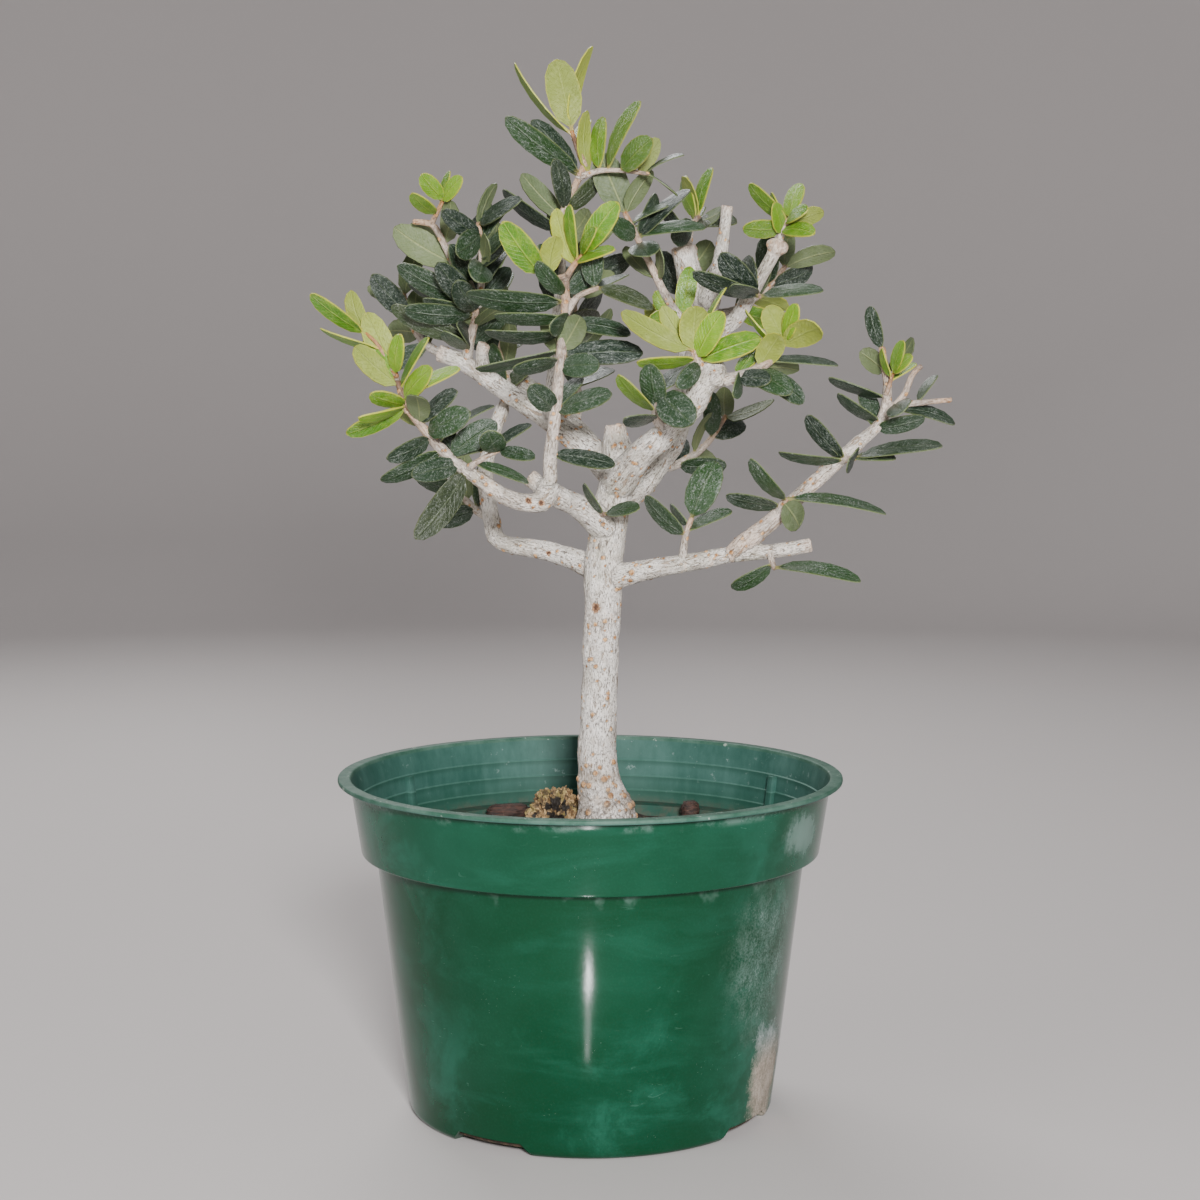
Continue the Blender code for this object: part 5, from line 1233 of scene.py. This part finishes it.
             pairs=(0.25, 0.97, 4, 18, 8))],
    "back_low_stem": [
        twig(((22, 17, 210), (28, 27, 211), (37, 34, 217), (44, 37, 227)), (1.8, 1.1),
             pairs=(0.25, 0.97, 4, 18, 8))],
    "back_crown_stem": [
        twig(((-10, 8, 252), (-8, 16, 258), (-3, 22, 268), (0, 25, 281)), (1.7, 1.1),
             pairs=(0.25, 0.97, 4, 18, 8))],
}
# what carries a node, where that isn't the wood
carriers = {
    "leader_tip": "leader", "center_stem_tip": "center_stem", "left_reach_tip": "left_reach_stem",
    "right_knob_tip": "right_knob_stem", "upper_left_stem": "left_mid_stem",
    "upper_left_tip": "upper_left_stem", "upper_mid_stem": "left_mid_stem",
    "right_low_tip": "right_low_stem",
}
# the turns that a leaf of the frame may have been given, in degrees about its face and its width
smallTurns = ((0, 0), (10, 0), (-10, 0), (0, 10), (0, -10), (12, 12), (-12, 12), (12, -12), (-12, -12),
              (22, 0), (-22, 0), (0, 22), (0, -22), (26, 20), (-26, 20), (26, -20), (-26, -20),
              (40, 0), (-40, 0), (0, 40), (0, -40))


def treeOf(node):
    mesh = frame["nodes"][node].data
    return BVHTree.FromPolygons([v.co for v in mesh.vertices], [tuple(p.vertices) for p in mesh.polygons])


def seatedRoute(route, parentTree):    # the stem starts at the surface of what carries it
    for i in range(len(route) - 1, 0, -1):
        back = route[i - 1] - route[i]
        place = parentTree.ray_cast(route[i], back.normalized(), back.length + 0.01 * mm)[0]
        if place:
            return [place - back.normalized() * shootShape["seat"] * mm] + route[i:]
    return route


def nearestOn(route, point):    # where a side twig leaves its stem
    marks = [atShare(route, 0.12 + 0.84 * n / 30)[0] for n in range(31)]
    return min(marks, key=lambda mark: (mark - point).length)


def listedLeaves(facts, route):
    for share, x, z, length, width, turn in facts["leaves"]:
        root = atShare(route, share)[0]
        seen = spot(x, root.y / mm, z) - root
        depth = math.sqrt(max(0.0, (length * mm) ** 2 - seen.length_squared))
        tipDepth = root.y + (depth if length < 0 else -depth)
        yield root, spot(x, tipDepth / mm, z), width * mm, turn


def pairedLeaves(facts, route, draw):    # opposite pairs, each a quarter turn from the last
    if not facts["pairs"]:
        return
    first, last, count, length, width = facts["pairs"]
    for n in range(count):
        root, ahead = atShare(route, first + (last - first) * n / max(1, count - 1))
        side = ahead.orthogonal().normalized()
        for half in (0, 180):
            bearing = 90 * n + half + draw.uniform(-shootShape["bearing"], shootShape["bearing"])
            outward = Matrix.Rotation(math.radians(bearing), 3, ahead) @ side
            lean = math.radians(draw.uniform(*shootShape["lean"]))
            reach = outward * math.sin(lean) + ahead * math.cos(lean)
            size = length * draw.uniform(*shootShape["length"])
            turn = draw.uniform(-shootShape["turn"], shootShape["turn"]) + 180 * (n % 2)
            yield root, root + reach * size * mm, width * mm * draw.uniform(*shootShape["width"]), turn


def asGrown(leaf, thick, corners):    # the tip as the frame has it, or none where it left the leaf out
    root, tip, _, turn = leaf
    base = root + (tip - root).normalized() * thick
    best = None
    for change in smallTurns:
        place, _, gap = corners.find(turnedTip(base, tip, turn, change))
        if gap < shootShape["nearby"] * mm and (best is None or gap < best[0]):
            best = (gap, place)
    return best[1] if best else None


def makeShoot(name, twigs, number, pattern, trees, paints):
    fresh = name.endswith("tip")
    draw = random.Random(shootShape["seed"] + number)
    look = random.Random(leafShape["seed"] + number)
    corners = treeOfPoints([vert.co for vert in frame["nodes"][name].data.vertices])
    growth = Growth(bark["seed"] + number)
    leaves = bmesh.new()
    placed = 0
    for index, facts in enumerate(twigs):
        route = smoothRoute([spot(*row) for row in facts["route"]], shootShape["frameStep"] * mm)
        first, last = [r * mm for r in facts["thick"]]
        age = shootShape["newAge" if fresh else "sideAge" if index else "stemAge"]
        routeSeen = route
        if index:
            route[0] = nearestOn(mainRoute, route[0])
        else:
            route = seatedRoute(route, trees[carriers.get(name, "wood")])
            mainRoute = route
            away = (route[1] - route[0]).normalized()
            routeSeen = [route[0] - away * shootShape["inside"] * mm] + route[1:]
        fine = smoothRoute(routeSeen, shootShape["step"] * mm)
        growth.add(fine, evenRadii(fine, first, last * shootShape["taper"]), age, shootShape["sides"])
        for leaf in list(listedLeaves(facts, route)) + list(pairedLeaves(facts, route, draw)):
            tip = asGrown(leaf, (first + last) / 2, corners)
            if tip:
                addLeaf(leaves, pattern, (leaf[0], tip, *leaf[2:]), look, shootShape["newGrowth"] * fresh)
                placed += 1
    stem = growth.skin(name + "_stem", bark["twigVoxel"])
    finishPiece(name + "_stem", stem, [paints["bark"]], name, 60)
    kind = "new_leaf" if fresh else "mature_leaf"
    finishPiece(name + "_leaves", meshFrom(name + "_leaves", leaves), [paints[kind]], name, 70)
    return placed


# stage, light and camera

stage = {
    "floorColor": (0.55, 0.515, 0.505), "cloudShare": 0.97, "flat": 1.5, "curve": 0.5, "height": 1.5,
    "segments": 96, "skyColor": (0.93, 0.95, 1.0), "skyPower": 0.20, "lampAim": (0, 0, 0.17),
    "streakX": -0.0022, "streakHeight": 0.0015,
}
lights = {
    "key": {"at": (0.14, -1.24, 0.54), "size": (0.20, 0.20), "power": 31},
    "left": {"at": (-1.0, -0.6, 0.75), "size": (0.7, 0.9), "power": 3},
    "back": {"at": (-0.3, 0.9, 1.0), "size": (0.7, 0.5), "power": 10},
}
# lamps flat on the floor in front of the pot: y of the middle, width, length and power
streaks = ((-0.174, 0.0045, 0.026, 0.065), (-0.146, 0.0045, 0.060, 0.012))
camera = {"at": (0.00315, -0.73, 0.236), "tilt": 84.6, "lens": 67.5, "sensor": 36}


def makeStage():
    paint = Paint("pale studio floor")
    grain = paint.noise(paint.place(), 3, 3)
    darker = tuple(c * stage["cloudShare"] for c in stage["floorColor"])
    paint.color = paint.mix(grain, stage["floorColor"], darker)
    paint.finish(0.85)
    rise = arc((stage["flat"], stage["curve"]), stage["curve"], -90, 0, 12)
    profile = [(0, 0)] + rise + [(stage["flat"] + stage["curve"], stage["height"])]
    mesh = meshFrom("floor", turnedShell(profile, stage["segments"]))
    mesh.materials.append(paint.material)
    mesh.shade_smooth()
    inScene("floor", mesh)


def addLamp(name, size, power, at, turn):
    lamp = bpy.data.lights.new(name, "AREA")
    lamp.shape = "RECTANGLE"
    lamp.size, lamp.size_y = size
    lamp.energy = power
    thing = inScene(name, lamp)
    thing.location = at
    thing.rotation_euler = turn
    return thing


def makeLights():
    for name, facts in lights.items():
        aim = Vector(stage["lampAim"]) - Vector(facts["at"])
        addLamp(name, facts["size"], facts["power"], facts["at"], aim.to_track_quat("-Z", "Y").to_euler())
    for y, width, length, power in streaks:    # mirrored upright in the pot's front
        at = (stage["streakX"], y, stage["streakHeight"])
        glint = addLamp("streak", (width, length), power, at, (math.pi, 0, 0))
        glint.visible_camera = False
    world = bpy.data.worlds.new("studio")
    world.use_nodes = True
    sky = world.node_tree.nodes["Background"].inputs
    sky[0].default_value = (*stage["skyColor"], 1)
    sky[1].default_value = stage["skyPower"]
    bpy.context.scene.world = world


def makeCamera():
    lens = bpy.data.cameras.new("camera")
    lens.lens = camera["lens"]
    lens.sensor_width = camera["sensor"]
    thing = inScene("camera", lens)
    thing.location = camera["at"]
    thing.rotation_euler = (math.radians(camera["tilt"]), 0, 0)
    bpy.context.scene.camera = thing


makeCamera()
makeLights()
makeStage()
print("stage, lights and camera are set")
makePot(potPaint(), potInsidePaint())
print("pot is turned, with its lugs and notches")
makeSoil(soilPaint())
makeLump(lumpPaint())
chipFinish = chipPaint()
for chipName, chipFacts in chips.items():
    makeChip(chipName, chipFacts, chipFinish)
print("soil, lump and chips are in")
paints = {"bark": barkPaint(), "mature_leaf": leafPaint("mature olive leaf"),
          "new_leaf": leafPaint("new olive leaf")}
print("wood has", makeWood(paints["bark"]), "faces")
pattern = leafPattern()
trees = {"wood": treeOf("wood")}
leafTotal = 0
for number, (shootName, twigs) in enumerate(shoots.items()):
    leafTotal += makeShoot(shootName, twigs, number, pattern, trees, paints)
    trees[shootName] = treeOf(shootName)
bpy.data.meshes.remove(pattern)
print("leaves placed:", leafTotal)
